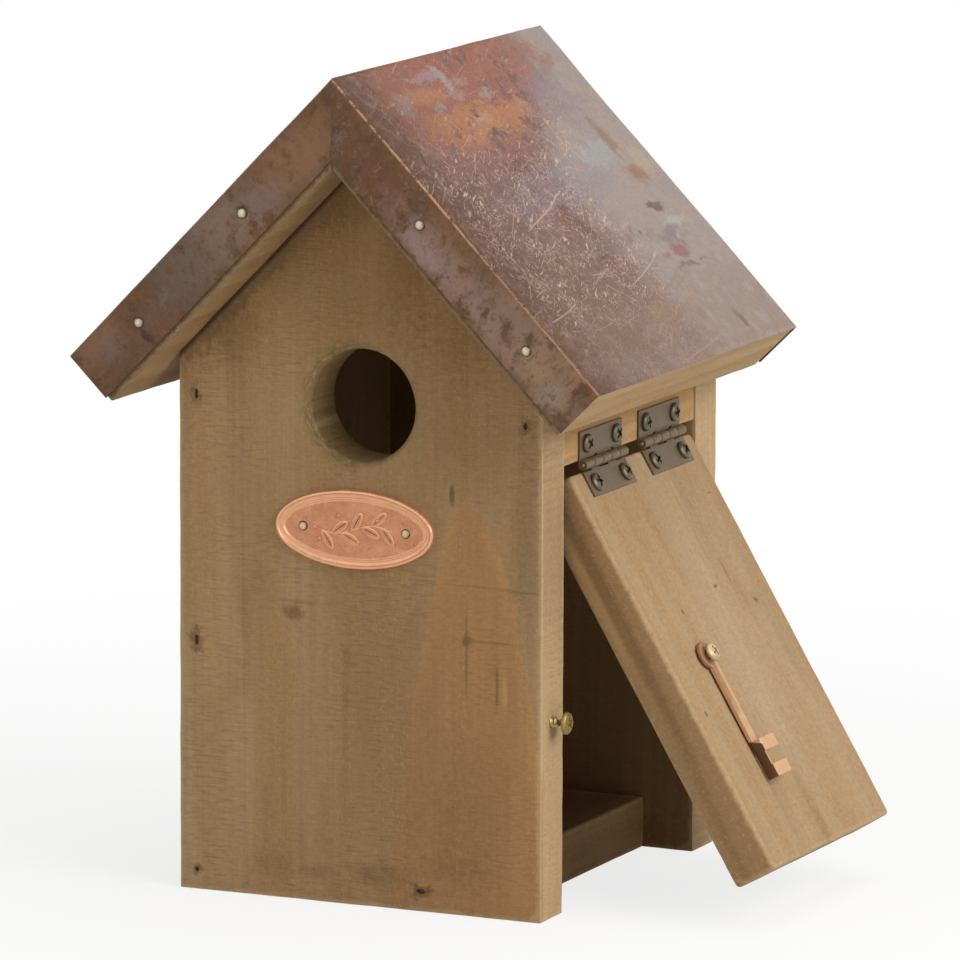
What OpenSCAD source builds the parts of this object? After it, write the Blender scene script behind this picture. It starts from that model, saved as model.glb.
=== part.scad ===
// Garden nest box: a gabled wooden box with a folded copper roof sheet,
// a hinged side door for cleaning and a key-shaped copper latch.
// +X is the door side, -Y the front with the entrance hole, +Z up.
// The origin is the middle of the box's underside.

/* [Box] */
// Width across the front wall
body_w = 120; // [105:1:150]
// Depth from the front wall's outer face to the back wall's outer face
body_d = 131; // [115:1:160]
// Thickness of the front, back and left boards
board_t = 16; // [12:0.5:18]
// Height of the walls' side edges
side_h = 165; // [158:1:185]
// Thickness of the floor board
floor_t = 16; // [10:0.5:20]
// Gap between the floor board's edge and the closed door
floor_gap = 1.4; // [0.6:0.1:3]

/* [Entrance] */
// Diameter of the entrance hole
hole_d = 34; // [26:1:40]
// Height of the entrance hole's centre
hole_z = 152.7; // [145:0.1:160]
// Distance of the entrance hole's centre from the middle, towards the door
hole_x = 1; // [-4:0.5:4]
// Rounding of the entrance hole's front rim
rim_round = 1.2; // [0.6:0.1:2.5]

/* [Roof] */
// Pitch of both slopes in degrees
pitch = 45.5; // [42:0.5:48]
// Thickness of the roof boards
roof_t = 18.5; // [14:0.5:20]
// Length of a slope along the copper, from ridge to eave
slope_len = 124.3; // [118:0.1:134]
// Reach of the copper in front of the front wall
front_reach = 20; // [10:0.5:30]
// Reach of the copper behind the back wall
back_reach = 0; // [0:0.5:6]
// Thickness of the copper sheet
sheet_t = 0.6; // [0.4:0.1:1]
// Height of the folded copper edge, square to the slope
flange_h = 17.2; // [14:0.1:18]
// Distance that the roof boards stop short of the copper at the eaves
eave_setback = 1; // [0.5:0.1:3]

/* [Roof nails] */
// Distance of the upper nails from the ridge, along the slope
nail_upper_dist = 50.3; // [40:0.1:60]
// Distance of the lower nails from the ridge, along the slope
nail_lower_dist = 99.6; // [80:0.1:110]
// Shank radius of the roof and plaque nails
nail_r = 0.75; // [0.5:0.05:1]
// Head radius of the roof and plaque nails
nail_head_r = 1.7; // [1.3:0.1:2.2]
// Head height of the roof and plaque nails
nail_head_h = 0.8; // [0.5:0.1:1.2]
// Length of the roof nails below the head
nail_len = 14; // [8:1:18]

/* [Brads] */
// Radius of the sunken brads
brad_r = 0.8; // [0.6:0.05:1]
// Length of the brads
brad_len = 30; // [24:1:34]
// Depth of the brads' heads below the wood
brad_sink = 1; // [0.5:0.1:2]
// Distance of the side wall's brads from the box's edge
brad_edge = 5.5; // [4:0.1:7.5]
// Height of the side wall's lower brad
brad_low_z = 6; // [4:0.1:9]
// Height of the side wall's middle brad
brad_mid_z = 77; // [60:0.5:100]
// Height of the side wall's upper brad
brad_high_z = 152.5; // [146:0.1:156]
// Place of the floor board's brad across the front
brad_floor_x = 20.5; // [10:0.5:35]
// Height of the hinge rail's brad
brad_rail_z = 150.2; // [145:0.1:154]

/* [Door] */
// Thickness of the door board and the hinge rail
door_t = 14.5; // [10:0.5:16]
// Length of the door from its top to its bottom edge
door_len = 132.1; // [120:0.1:133]
// Distance of the door's outer face behind the walls' side edges
door_recess = 0.5; // [0.2:0.1:2]
// Gap between the door and the front wall
door_gap_front = 3; // [1.5:0.5:5]
// Gap between the door and the back wall
door_gap_back = 5; // [1.5:0.5:7]
// Least height of the swinging door's edge above the ground
ground_gap = 0.3; // [0.2:0.1:3]
// Angle at which the door stands open
door_angle = 30.8; // [0:0.1:90]

/* [Hinges] */
// Length of each hinge along its pin
hinge_len = 31; // [24:1:36]
// Reach of a leaf from the pin's axis to its edge
leaf_reach = 10; // [8:0.5:14]
// Thickness of a leaf
leaf_t = 0.9; // [0.6:0.1:1.2]
// Outer radius of the knuckles
knuckle_r = 1.6; // [1.4:0.1:2.5]
// Number of knuckles in a hinge
knuckle_n = 5; // [3:2:5]
// Radius of the hinge pins
pin_r = 0.75; // [0.5:0.05:1]
// Radial clearance round a hinge pin
pin_clear = 0.05; // [0.02:0.01:0.1]
// Gap between neighbouring knuckles
knuckle_gap = 0.25; // [0.15:0.05:0.5]
// Distance of each hinge's middle from the door's middle
hinge_spread = 22; // [18:0.5:26]
// Gap between the pin's axis and the door's top edge
wood_gap = 1.5; // [1.4:0.1:3]
// Gap between the pin's axis and the rail's lower edge
rail_gap = 1; // [0.8:0.1:3]

/* [Hinge screws] */
// Distance of the hinge screws from the hinge's middle
screw_spread = 10.7; // [7:0.1:12]
// Distance of the hinge screws from the pin's axis
screw_reach = 6.1; // [5:0.1:7]
// Shank radius of the hinge screws
screw_r = 1.2; // [0.8:0.1:1.5]
// Head radius of the hinge screws
screw_head_r = 2.9; // [2.2:0.1:3.1]
// Head height of the hinge screws
screw_head_h = 1.5; // [1:0.1:2]
// Length of the hinge screws below the head
screw_len = 11; // [6:0.5:12]

/* [Catch screw] */
// Height of the catch screw in the front wall's edge
catch_z = 60; // [45:0.5:75]
// Shank radius of the catch screw
catch_r = 1.55; // [1.2:0.05:1.8]
// Head radius of the catch screw
catch_head_r = 3.4; // [2.8:0.1:4]
// Head height of the catch screw
catch_head_h = 1.7; // [1.2:0.1:2.5]
// Depth of the catch screw in the wood
catch_depth = 18; // [10:1:25]

/* [Key latch] */
// Distance of the key's pivot below the hinge pin, with the door shut
key_drop = 66.9; // [60:0.1:75]
// Distance of the key's pivot from the door's front edge
key_inset = 24; // [20:0.5:26]
// Thickness of the key's sheet
key_t = 1.1; // [0.8:0.1:1.4]
// Outer radius of the key's ring
key_ring_r = 4.3; // [3.8:0.1:5]
// Width of the key's shaft
key_w = 4.1; // [3:0.1:4.6]
// Sideways shift of the shaft from the pivot, towards the teeth
key_shift = 0.85; // [0:0.05:1]
// Distance of the teeth's outer face from the key's underside
key_bit_h = 3.8; // [2.8:0.1:4]
// Reach of the teeth from the back of the bit
tooth_len = 10.2; // [7:0.1:11]
// Width of each tooth
tooth_w = 4; // [3:0.1:5]
// Width of the slot between the teeth
slot_w = 4.6; // [4:0.1:5.5]
// Clearance between the latched key and the catch screw
latch_clear = 0.3; // [0.2:0.05:0.6]
// Shank radius of the key's screw
key_screw_r = 1.6; // [1.2:0.05:1.8]
// Head radius of the key's screw
key_head_r = 3; // [2.6:0.1:3.4]
// Head height of the key's screw
key_head_h = 1.7; // [1.2:0.1:2.2]
// Depth of the key's screw in the door
key_screw_depth = 10; // [7:0.5:10]
// Clearance between the key and what it turns past
key_clear = 0.3; // [0.2:0.05:0.5]
// Clearance between the key and the head of its screw
key_head_clear = 1.2; // [0.3:0.1:1.5]

/* [Plaque] */
// Width of the oval plaque
plaque_w = 52.3; // [40:0.1:60]
// Height of the oval plaque
plaque_h = 23.9; // [18:0.1:26]
// Thickness of the plaque's field
plaque_t = 1; // [0.6:0.1:1.5]
// Height of the plaque's raised rim above its field
plaque_rim_h = 0.6; // [0.3:0.1:1]
// Width of the plaque's raised rim
plaque_rim_w = 1.1; // [0.8:0.1:2]
// Sideways shift of the plaque's centre from the wall's middle
plaque_x = -1.2; // [-4:0.1:4]
// Height of the plaque's centre
plaque_z = 115; // [112:0.5:118]
// Distance of the plaque's nails from its centre
plaque_nail_x = 17; // [14:0.5:19]
// Length of the plaque's nails below the head
plaque_nail_len = 10; // [6:1:13]

/* [Hidden] */
// Slack round nails and screws in their holes
fit = 0.04;
// Slack round the key's screw in the ring
key_play = 0.15;
// Overrun of cutters past a face
eps = 0.5;
// Facets of round work
round_fn = 48;
small_fn = 24;

// Faces of the box
half_w = body_w / 2;
front_y = -body_d / 2;
back_y = body_d / 2;
inner_front_y = front_y + board_t;
inner_back_y = back_y - board_t;
inner_left_x = -half_w + board_t;

// Planes of the roof: height above the walls' side edges at the middle
gable_z = side_h + half_w * tan(pitch);
wood_ridge_z = gable_z + roof_t / cos(pitch);
ridge_z = wood_ridge_z + sheet_t / cos(pitch);
roof_front_y = front_y - front_reach;
roof_back_y = back_y + back_reach;
flange_mid = flange_h / 2;

// Door and hinges, all with the door shut
door_x = half_w - door_recess;
door_front_y = inner_front_y + door_gap_front;
door_back_y = inner_back_y - door_gap_back;
door_mid_y = (door_front_y + door_back_y) / 2;
pin_x = door_x + knuckle_r;
swing_r = norm([door_len + wood_gap, door_t + knuckle_r]);
pin_z = ground_gap + swing_r;
door_top_z = pin_z - wood_gap;
front_hinge_y = door_mid_y - hinge_spread;
rear_hinge_y = door_mid_y + hinge_spread;
knuckle_len = hinge_len / knuckle_n;
floor_edge_x = door_x - door_t - floor_gap;

// Key, hanging straight down with the door shut
key_y = door_front_y + key_inset;
key_z = pin_z - key_drop;
key_x = half_w + key_clear;
key_bore_r = key_screw_r + key_play;
spine_back = key_shift - key_w / 2;
spine_front = spine_back + key_t;
catch_y = front_y + board_t / 2;
catch_far = norm([key_y - catch_y, key_z - catch_z]);
catch_side = spine_front + latch_clear + catch_r;
slot_at = sqrt(pow(catch_far, 2) - pow(catch_side, 2));
bit_start = slot_at - slot_w / 2 - tooth_w;
bit_end = slot_at + slot_w / 2 + tooth_w;
key_head_x = key_x + key_t + key_head_clear;
catch_head_x = key_x + key_bit_h + key_clear;

// Wood tones and metals
front_wood = [0.56, 0.46, 0.32];
side_wood = [0.70, 0.60, 0.43];
copper = [0.45, 0.33, 0.30];
bright_copper = [0.80, 0.50, 0.38];
brass = [0.66, 0.56, 0.34];
steel = [0.44, 0.40, 0.34];

// Outline of a gable board in the XZ plane
function gable_outline() = [
    [-half_w, 0], [half_w, 0], [half_w, side_h], [0, gable_z], [-half_w, side_h]
];

// Height of the roof boards' underside at a distance from the middle
function under_z(x) = gable_z - abs(x) * tan(pitch);

// Place in the XZ plane of a point on the right slope: distance down the
// slope from the ridge, and depth square to the copper's face
function slope_point(along, depth) = [
    along * cos(pitch) - depth * sin(pitch),
    ridge_z - along * sin(pitch) - depth * cos(pitch)
];

// Point on the vertical middle plane at a depth square to the slope
function ridge_point(depth) = [0, ridge_z - depth / cos(pitch)];

// Outline of an oval
function oval(w, h, n = 96) = [for (i = [0:n - 1]) [w / 2 * cos(360 * i / n), h / 2 * sin(360 * i / n)]];

// Extrudes an XZ outline from y0 to y1
module slab(y0, y1) {
    translate([0, y1, 0]) rotate([90, 0, 0]) linear_extrude(y1 - y0) children();
}

// Cylinder along +Y from a point
module rod_y(x, y, z, r, len, fn = small_fn) {
    translate([x, y, z]) rotate([-90, 0, 0]) cylinder(r = r, h = len, $fn = fn);
}

// Cylinder along +X from a point
module rod_x(x, y, z, r, len, fn = small_fn) {
    translate([x, y, z]) rotate([0, 90, 0]) cylinder(r = r, h = len, $fn = fn);
}

// Domed head standing on the XY plane
module dome(r, h) {
    ball_r = (r * r + h * h) / (2 * h);
    intersection() {
        translate([0, 0, h - ball_r]) sphere(r = ball_r, $fn = round_fn);
        cylinder(r = r, h = h, $fn = round_fn);
    }
}

// Nail with its head's underside at the origin, shank along -Z
module nail(len) {
    dome(nail_head_r, nail_head_h);
    translate([0, 0, -len]) cylinder(r = nail_r, h = len + nail_head_h / 4, $fn = small_fn);
}

// Cross-recess pan-head screw with its head's underside at the origin
module pan_screw(shank_r, head_r, head_h, len) {
    side_h0 = head_h * 0.4;
    cross_w = head_r * 0.28;
    cross_l = head_r * 1.1;
    difference() {
        union() {
            cylinder(r = head_r, h = side_h0, $fn = round_fn);
            translate([0, 0, side_h0]) dome(head_r, head_h - side_h0);
        }
        translate([-cross_l / 2, -cross_w / 2, head_h / 2]) cube([cross_l, cross_w, head_h]);
        translate([-cross_w / 2, -cross_l / 2, head_h / 2]) cube([cross_w, cross_l, head_h]);
    }
    translate([0, 0, -len]) cylinder(r = shank_r, h = len + side_h0 / 2, $fn = small_fn);
}

// Turns closed-door work about the hinge pin to where the door stands
module swung() {
    translate([pin_x, 0, pin_z]) rotate([0, -door_angle, 0]) translate([-pin_x, 0, -pin_z]) children();
}

// Places of the roof nails in the XZ plane, both slopes
function nail_spots() = [
    for (side = [-1, 1], along = [nail_upper_dist, nail_lower_dist])
        let (p = slope_point(along, flange_mid)) [side * p[0], p[1]]
];

// Places of the brads in the XZ plane
function brad_spots() = [
    [-half_w + brad_edge, brad_low_z],
    [-half_w + brad_edge, brad_mid_z],
    [-half_w + brad_edge, brad_high_z],
    [brad_floor_x, brad_low_z],
    [half_w - brad_edge, brad_rail_z]
];

// Holes for all brads, driven from the front and from the back
module brad_holes() {
    for (p = brad_spots()) {
        rod_y(p[0], front_y - eps, p[1], brad_r + fit, brad_sink + brad_len + eps);
        rod_y(p[0], back_y - brad_sink - brad_len, p[1], brad_r + fit, brad_sink + brad_len + eps);
    }
}

// Holes for the roof nails through the copper and into the boards
module roof_nail_holes() {
    for (p = nail_spots()) {
        rod_y(p[0], roof_front_y - eps, p[1], nail_r + fit, nail_len + eps);
        rod_y(p[0], roof_back_y - nail_len, p[1], nail_r + fit, nail_len + eps);
    }
}

module front_wall() {
    color(front_wood) difference() {
        slab(front_y, inner_front_y) polygon(gable_outline());
        rod_y(hole_x, front_y - eps, hole_z, hole_d / 2, board_t + 2 * eps, round_fn);
        translate([hole_x, front_y, hole_z]) rotate([-90, 0, 0]) rim_cut();
        brad_holes();
        plaque_nail_holes();
        rod_x(half_w - catch_depth, catch_y, catch_z, catch_r + fit, catch_depth + eps);
    }
}

// Flare that rounds the entrance hole's rim, mouth towards -Z
module rim_cut() {
    rotate_extrude($fn = round_fn) difference() {
        translate([0, -eps]) square([hole_d / 2 + rim_round, rim_round + eps]);
        translate([hole_d / 2 + rim_round, rim_round]) circle(r = rim_round, $fn = round_fn);
    }
}

module back_wall() {
    color(front_wood) difference() {
        slab(inner_back_y, back_y) polygon(gable_outline());
        brad_holes();
    }
}

module left_wall() {
    color(front_wood) difference() {
        slab(inner_front_y, inner_back_y) polygon([
            [-half_w, 0], [inner_left_x, 0],
            [inner_left_x, under_z(inner_left_x)], [-half_w, side_h]
        ]);
        brad_holes();
    }
}

module floor_board() {
    color(front_wood) difference() {
        slab(inner_front_y, inner_back_y)
            translate([inner_left_x, 0]) square([floor_edge_x - inner_left_x, floor_t]);
        brad_holes();
    }
}

module hinge_rail() {
    rail_x = door_x - door_t;
    rail_z = pin_z + rail_gap;
    color(side_wood) difference() {
        slab(inner_front_y, inner_back_y) polygon([
            [rail_x, rail_z], [door_x, rail_z], [door_x, under_z(door_x)], [rail_x, under_z(rail_x)]
        ]);
        brad_holes();
        for (y = [front_hinge_y, rear_hinge_y], s = [-1, 1])
            screw_hole(y + s * screw_spread, pin_z + screw_reach);
    }
}

// Pilot hole for a hinge screw, from the door's face inwards
module screw_hole(y, z) {
    rod_x(door_x + leaf_t - screw_len, y, z, screw_r + fit, screw_len + eps);
}

// Right roof board; the left one is its mirror image
module roof_board() {
    difference() {
        slab(roof_front_y + sheet_t, roof_back_y - sheet_t) polygon([
            ridge_point(sheet_t),
            slope_point(slope_len - eave_setback, sheet_t),
            slope_point(slope_len - eave_setback, sheet_t + roof_t),
            ridge_point(sheet_t + roof_t)
        ]);
        roof_nail_holes();
    }
}

module right_roof_board() {
    color(side_wood) roof_board();
}

module left_roof_board() {
    color(front_wood) mirror([1, 0, 0]) roof_board();
}

// Outline of a folded band over both slopes, from one depth to another
function band(depth) = [
    [-slope_point(slope_len, 0)[0], slope_point(slope_len, 0)[1]],
    ridge_point(0),
    slope_point(slope_len, 0),
    slope_point(slope_len, depth),
    ridge_point(depth),
    [-slope_point(slope_len, depth)[0], slope_point(slope_len, depth)[1]]
];

module copper_roof() {
    color(copper) difference() {
        union() {
            slab(roof_front_y, roof_back_y) polygon(band(sheet_t));
            slab(roof_front_y, roof_front_y + sheet_t) polygon(band(flange_h));
            slab(roof_back_y - sheet_t, roof_back_y) polygon(band(flange_h));
        }
        roof_nail_holes();
    }
}

module front_roof_nails() {
    color(brass) for (p = nail_spots())
        translate([p[0], roof_front_y, p[1]]) rotate([90, 0, 0]) nail(nail_len - eps);
}

module back_roof_nails() {
    color(brass) for (p = nail_spots())
        translate([p[0], roof_back_y, p[1]]) rotate([-90, 0, 0]) nail(nail_len - eps);
}

// Holes for the plaque's nails, through the plaque and into the front wall
module plaque_nail_holes() {
    for (s = [-1, 1])
        rod_y(
            plaque_x + s * plaque_nail_x, front_y - plaque_t - eps, plaque_z,
            nail_r + fit, plaque_nail_len + eps
        );
}

module plaque() {
    color(bright_copper) difference() {
        translate([plaque_x, 0, plaque_z]) {
            slab(front_y - plaque_t, front_y) polygon(oval(plaque_w, plaque_h));
            slab(front_y - plaque_t - plaque_rim_h, front_y - plaque_t / 2) difference() {
                polygon(oval(plaque_w, plaque_h));
                polygon(oval(plaque_w - 2 * plaque_rim_w, plaque_h - 2 * plaque_rim_w));
            }
        }
        plaque_nail_holes();
    }
}

module plaque_nails() {
    color(brass) for (s = [-1, 1])
        translate([plaque_x + s * plaque_nail_x, front_y - plaque_t, plaque_z]) rotate([90, 0, 0])
            nail(plaque_nail_len - eps);
}

module front_brads() {
    color(steel) for (p = brad_spots())
        rod_y(p[0], front_y + brad_sink, p[1], brad_r, brad_len - eps);
}

module back_brads() {
    color(steel) for (p = brad_spots())
        rod_y(p[0], back_y - brad_sink - brad_len + eps, p[1], brad_r, brad_len - eps);
}

module catch_screw() {
    stand = catch_head_x - half_w;
    color(brass) translate([catch_head_x, catch_y, catch_z]) rotate([0, 90, 0])
        pan_screw(catch_r, catch_head_r, catch_head_h, stand + catch_depth - eps);
}

// Rail-side leaf: plate above the pin, with every other knuckle from the ends
module rail_leaf(y) {
    difference() {
        union() {
            leaf_plate(y, 1);
            for (i = [0:2:knuckle_n - 1]) knuckle(y, i, 1);
        }
        pin_bore(y);
        leaf_screw_holes(y, 1);
    }
}

// Door-side leaf: plate below the pin, with the knuckles in between
module door_leaf(y) {
    difference() {
        union() {
            leaf_plate(y, -1);
            for (i = [1:2:knuckle_n - 2]) knuckle(y, i, -1);
        }
        pin_bore(y);
        leaf_screw_holes(y, -1);
    }
}

// Plate of a leaf on the wood; side is 1 above the pin and -1 below it
module leaf_plate(y, side) {
    inner = knuckle_r + knuckle_gap;
    height = leaf_reach - inner;
    z0 = side > 0 ? pin_z + inner : pin_z - leaf_reach;
    translate([door_x, y - hinge_len / 2, z0]) cube([leaf_t, hinge_len, height]);
}

// One knuckle with the tab that joins it to its plate
module knuckle(y, i, side) {
    y0 = y - hinge_len / 2 + i * knuckle_len + knuckle_gap / 2;
    len = knuckle_len - knuckle_gap;
    tab_h = knuckle_r + knuckle_gap + leaf_t;
    rod_y(pin_x, y0, pin_z, knuckle_r, len, round_fn);
    translate([door_x, y0, side > 0 ? pin_z : pin_z - tab_h]) cube([leaf_t, len, tab_h]);
}

module pin_bore(y) {
    rod_y(pin_x, y - hinge_len / 2 - eps, pin_z, pin_r + pin_clear, hinge_len + 2 * eps, round_fn);
}

module leaf_screw_holes(y, side) {
    for (s = [-1, 1])
        rod_x(door_x - eps, y + s * screw_spread, pin_z + side * screw_reach, screw_r + fit, leaf_t + 2 * eps);
}

module hinge_pin(y) {
    rod_y(pin_x, y - hinge_len / 2, pin_z, pin_r, hinge_len, round_fn);
}

module front_hinge_rail_leaf() {
    color(steel) rail_leaf(front_hinge_y);
}

module rear_hinge_rail_leaf() {
    color(steel) rail_leaf(rear_hinge_y);
}

module front_hinge_pin() {
    color(steel) hinge_pin(front_hinge_y);
}

module rear_hinge_pin() {
    color(steel) hinge_pin(rear_hinge_y);
}

module front_hinge_door_leaf() {
    color(steel) swung() door_leaf(front_hinge_y);
}

module rear_hinge_door_leaf() {
    color(steel) swung() door_leaf(rear_hinge_y);
}

// Four screws of one leaf side, both hinges
module hinge_screws(side) {
    for (y = [front_hinge_y, rear_hinge_y], s = [-1, 1])
        translate([door_x + leaf_t, y + s * screw_spread, pin_z + side * screw_reach])
            rotate([0, 90, 0]) rotate([0, 0, 20 + 35 * s])
                pan_screw(screw_r, screw_head_r, screw_head_h, screw_len - eps);
}

module rail_hinge_screws() {
    color(steel) hinge_screws(1);
}

module door_hinge_screws() {
    color(steel) swung() hinge_screws(-1);
}

module door() {
    color(side_wood) swung() difference() {
        translate([door_x - door_t, door_front_y, door_top_z - door_len])
            cube([door_t, door_back_y - door_front_y, door_len]);
        for (y = [front_hinge_y, rear_hinge_y], s = [-1, 1])
            screw_hole(y + s * screw_spread, pin_z - screw_reach);
        rod_x(door_x - key_screw_depth, key_y, key_z, key_screw_r + fit, key_screw_depth + eps);
    }
}

module key_screw() {
    len = key_head_x - door_x + key_screw_depth - eps;
    color(brass) swung() translate([key_head_x, key_y, key_z]) rotate([0, 90, 0])
        rotate([0, 0, 25]) pan_screw(key_screw_r, key_head_r, key_head_h, len);
}

// Key in its own plane: ring at the origin, shaft down -Y, teeth towards +X
module key_flat() {
    difference() {
        union() {
            cylinder(r = key_ring_r, h = key_t, $fn = round_fn);
            translate([spine_back, -bit_start - tooth_w, 0]) cube([key_w, bit_start + tooth_w, key_t]);
            translate([spine_back, -bit_end, 0]) cube([key_t, bit_end - bit_start, key_bit_h]);
            for (start = [bit_start, bit_end - tooth_w])
                translate([spine_back, -start - tooth_w, key_bit_h - key_t])
                    cube([tooth_len, tooth_w, key_t]);
        }
        translate([0, 0, -eps]) cylinder(r = key_bore_r, h = key_t + 2 * eps, $fn = round_fn);
    }
}

module key_latch() {
    color(bright_copper) swung() translate([key_x, key_y, key_z])
        rotate([90, 0, 90]) key_flat();
}

front_wall();
back_wall();
left_wall();
floor_board();
hinge_rail();
left_roof_board();
right_roof_board();
copper_roof();
front_roof_nails();
back_roof_nails();
plaque();
plaque_nails();
front_brads();
back_brads();
catch_screw();
front_hinge_rail_leaf();
front_hinge_pin();
front_hinge_door_leaf();
rear_hinge_rail_leaf();
rear_hinge_pin();
rear_hinge_door_leaf();
rail_hinge_screws();
door_hinge_screws();
door();
key_screw();
key_latch();
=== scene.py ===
"""Garden nest box: the looks of a gabled wooden box with a folded copper roof.

Every piece is modelled in metres in the row frame: +X is the door side, -Y the
front with the entrance hole, +Z up, and the origin is the middle of the underside.
"""

import logging
import math
import random
from collections.abc import Callable, Sequence
from dataclasses import dataclass, field
from enum import Enum
from functools import partial

import bmesh
import bpy
from mathutils import Matrix, Vector, kdtree


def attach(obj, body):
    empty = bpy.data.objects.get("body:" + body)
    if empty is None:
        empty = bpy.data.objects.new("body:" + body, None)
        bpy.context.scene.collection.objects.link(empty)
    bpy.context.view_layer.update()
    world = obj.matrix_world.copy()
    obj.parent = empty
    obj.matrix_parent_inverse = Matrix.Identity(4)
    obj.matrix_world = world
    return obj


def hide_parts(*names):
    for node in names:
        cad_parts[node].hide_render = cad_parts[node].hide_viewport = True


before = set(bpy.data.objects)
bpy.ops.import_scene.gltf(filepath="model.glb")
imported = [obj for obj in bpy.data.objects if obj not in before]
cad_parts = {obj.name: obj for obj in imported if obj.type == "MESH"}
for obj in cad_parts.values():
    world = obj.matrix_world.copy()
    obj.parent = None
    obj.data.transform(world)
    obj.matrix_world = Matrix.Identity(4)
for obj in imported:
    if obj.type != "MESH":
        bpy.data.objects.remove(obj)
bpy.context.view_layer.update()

LOG = logging.getLogger("nest_box")
MM = 0.001
TOUCH = 1e-6             # places nearer than this are one place, in metres
CLOSE = 1e-5             # the same for places that a cut has moved
EDGE_STEP = 0.7 * MM     # spacing of the points that stand for a sharp edge
WHITE = (1.0, 1.0, 1.0, 1.0)
Point = tuple[float, float, float]
Paint = tuple[int, int, int]
Material = bpy.types.Material
Piece = bpy.types.Object
Socket = bpy.types.NodeSocket
Spot = Sequence[float]
Tree = bpy.types.NodeTree


def colour(*paint: int) -> tuple[float, ...]:
    """Turns a paint colour of 0 to 255 into the linear colour that a shader takes."""
    shares = [value / 255 for value in paint]
    return (*(s / 12.92 if s <= 0.04045 else ((s + 0.055) / 1.055) ** 2.4 for s in shares), 1.0)


# ---- Sizes that the sub-assemblies share ----

@dataclass(frozen=True)
class Measures:
    """Shared sizes of the box, in metres."""

    body_w: float = 120 * MM
    body_d: float = 131 * MM
    board_t: float = 16 * MM
    side_h: float = 165 * MM
    floor_t: float = 16 * MM
    floor_gap: float = 1.4 * MM
    pitch: float = math.radians(45.5)
    roof_t: float = 18.5 * MM
    slope_len: float = 124.3 * MM
    front_reach: float = 20 * MM
    sheet_t: float = 0.6 * MM
    flange_h: float = 17.2 * MM
    eave_setback: float = 1 * MM
    door_t: float = 14.5 * MM
    door_len: float = 132.1 * MM
    door_recess: float = 0.5 * MM
    door_gap_front: float = 3 * MM
    door_gap_back: float = 5 * MM
    wood_gap: float = 1.5 * MM
    rail_gap: float = 1.0 * MM
    knuckle_r: float = 1.6 * MM
    ground_gap: float = 0.3 * MM
    door_angle: float = math.radians(30.8)
    catch_z: float = 60 * MM

    half_w: float = body_w / 2
    front_y: float = -body_d / 2                # outer face of the front wall
    back_y: float = body_d / 2                  # outer face of the back wall
    inner_front_y: float = front_y + board_t
    inner_back_y: float = back_y - board_t
    gable_z: float = side_h + half_w * math.tan(pitch)
    ridge_z: float = gable_z + (roof_t + sheet_t) / math.cos(pitch)
    roof_front_y: float = front_y - front_reach  # front face of the copper's folded edge
    door_x: float = half_w - door_recess        # outer face of the shut door and of the hinge rail
    door_front_y: float = inner_front_y + door_gap_front
    door_back_y: float = inner_back_y - door_gap_back
    pin_x: float = door_x + knuckle_r           # hinge pins' place across the box
    pin_z: float = ground_gap + math.hypot(door_len + wood_gap, door_t + knuckle_r)
    door_top_z: float = pin_z - wood_gap        # top edge of the shut door

    def slope_point(self, along: float, depth: float) -> tuple[float, float]:
        """x and z of a point at a distance down the right slope, and a depth below the copper's face."""
        across, down = math.cos(self.pitch), math.sin(self.pitch)
        return along * across - depth * down, self.ridge_z - along * down - depth * across

    def swing(self) -> Matrix:
        """Turn about the hinge pins that takes shut-door work to the open door."""
        pin = Vector((self.pin_x, 0, self.pin_z))
        turn = Matrix.Rotation(-self.door_angle, 4, "Y")
        return Matrix.Translation(pin) @ turn @ Matrix.Translation(-pin)


SIZES = Measures()


# ---- Hand tools: selection, edit mode and modifiers ----

def take(obj: Piece) -> None:
    """Selects one object alone and makes it active."""
    bpy.ops.object.select_all(action="DESELECT")
    obj.select_set(True)
    bpy.context.view_layer.objects.active = obj


def settle(obj: Piece) -> Piece:
    """Puts an object's place, turn and scale into its mesh."""
    take(obj)
    bpy.ops.object.transform_apply(location=True, rotation=True, scale=True)
    return obj


def place(obj: Piece, matrix: Matrix) -> Piece:
    """Moves a piece by a matrix and puts that into its mesh."""
    obj.matrix_world = matrix @ obj.matrix_world
    return settle(obj)


def start(add: Callable[..., object], name: str, scale: Spot = (1, 1, 1),
          **settings: object) -> Piece:
    """Starts a piece from a primitive at its size and place.

    Args:
        add: The operator that adds the primitive.
        name: The piece's name.
        scale: The piece's scale.
        settings: The operator's settings.

    Returns:
        The piece, with nothing else selected.
    """
    bpy.ops.object.select_all(action="DESELECT")
    add(**settings)
    obj = bpy.context.object
    obj.name = obj.data.name = name
    obj.scale = scale
    return settle(obj)


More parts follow.
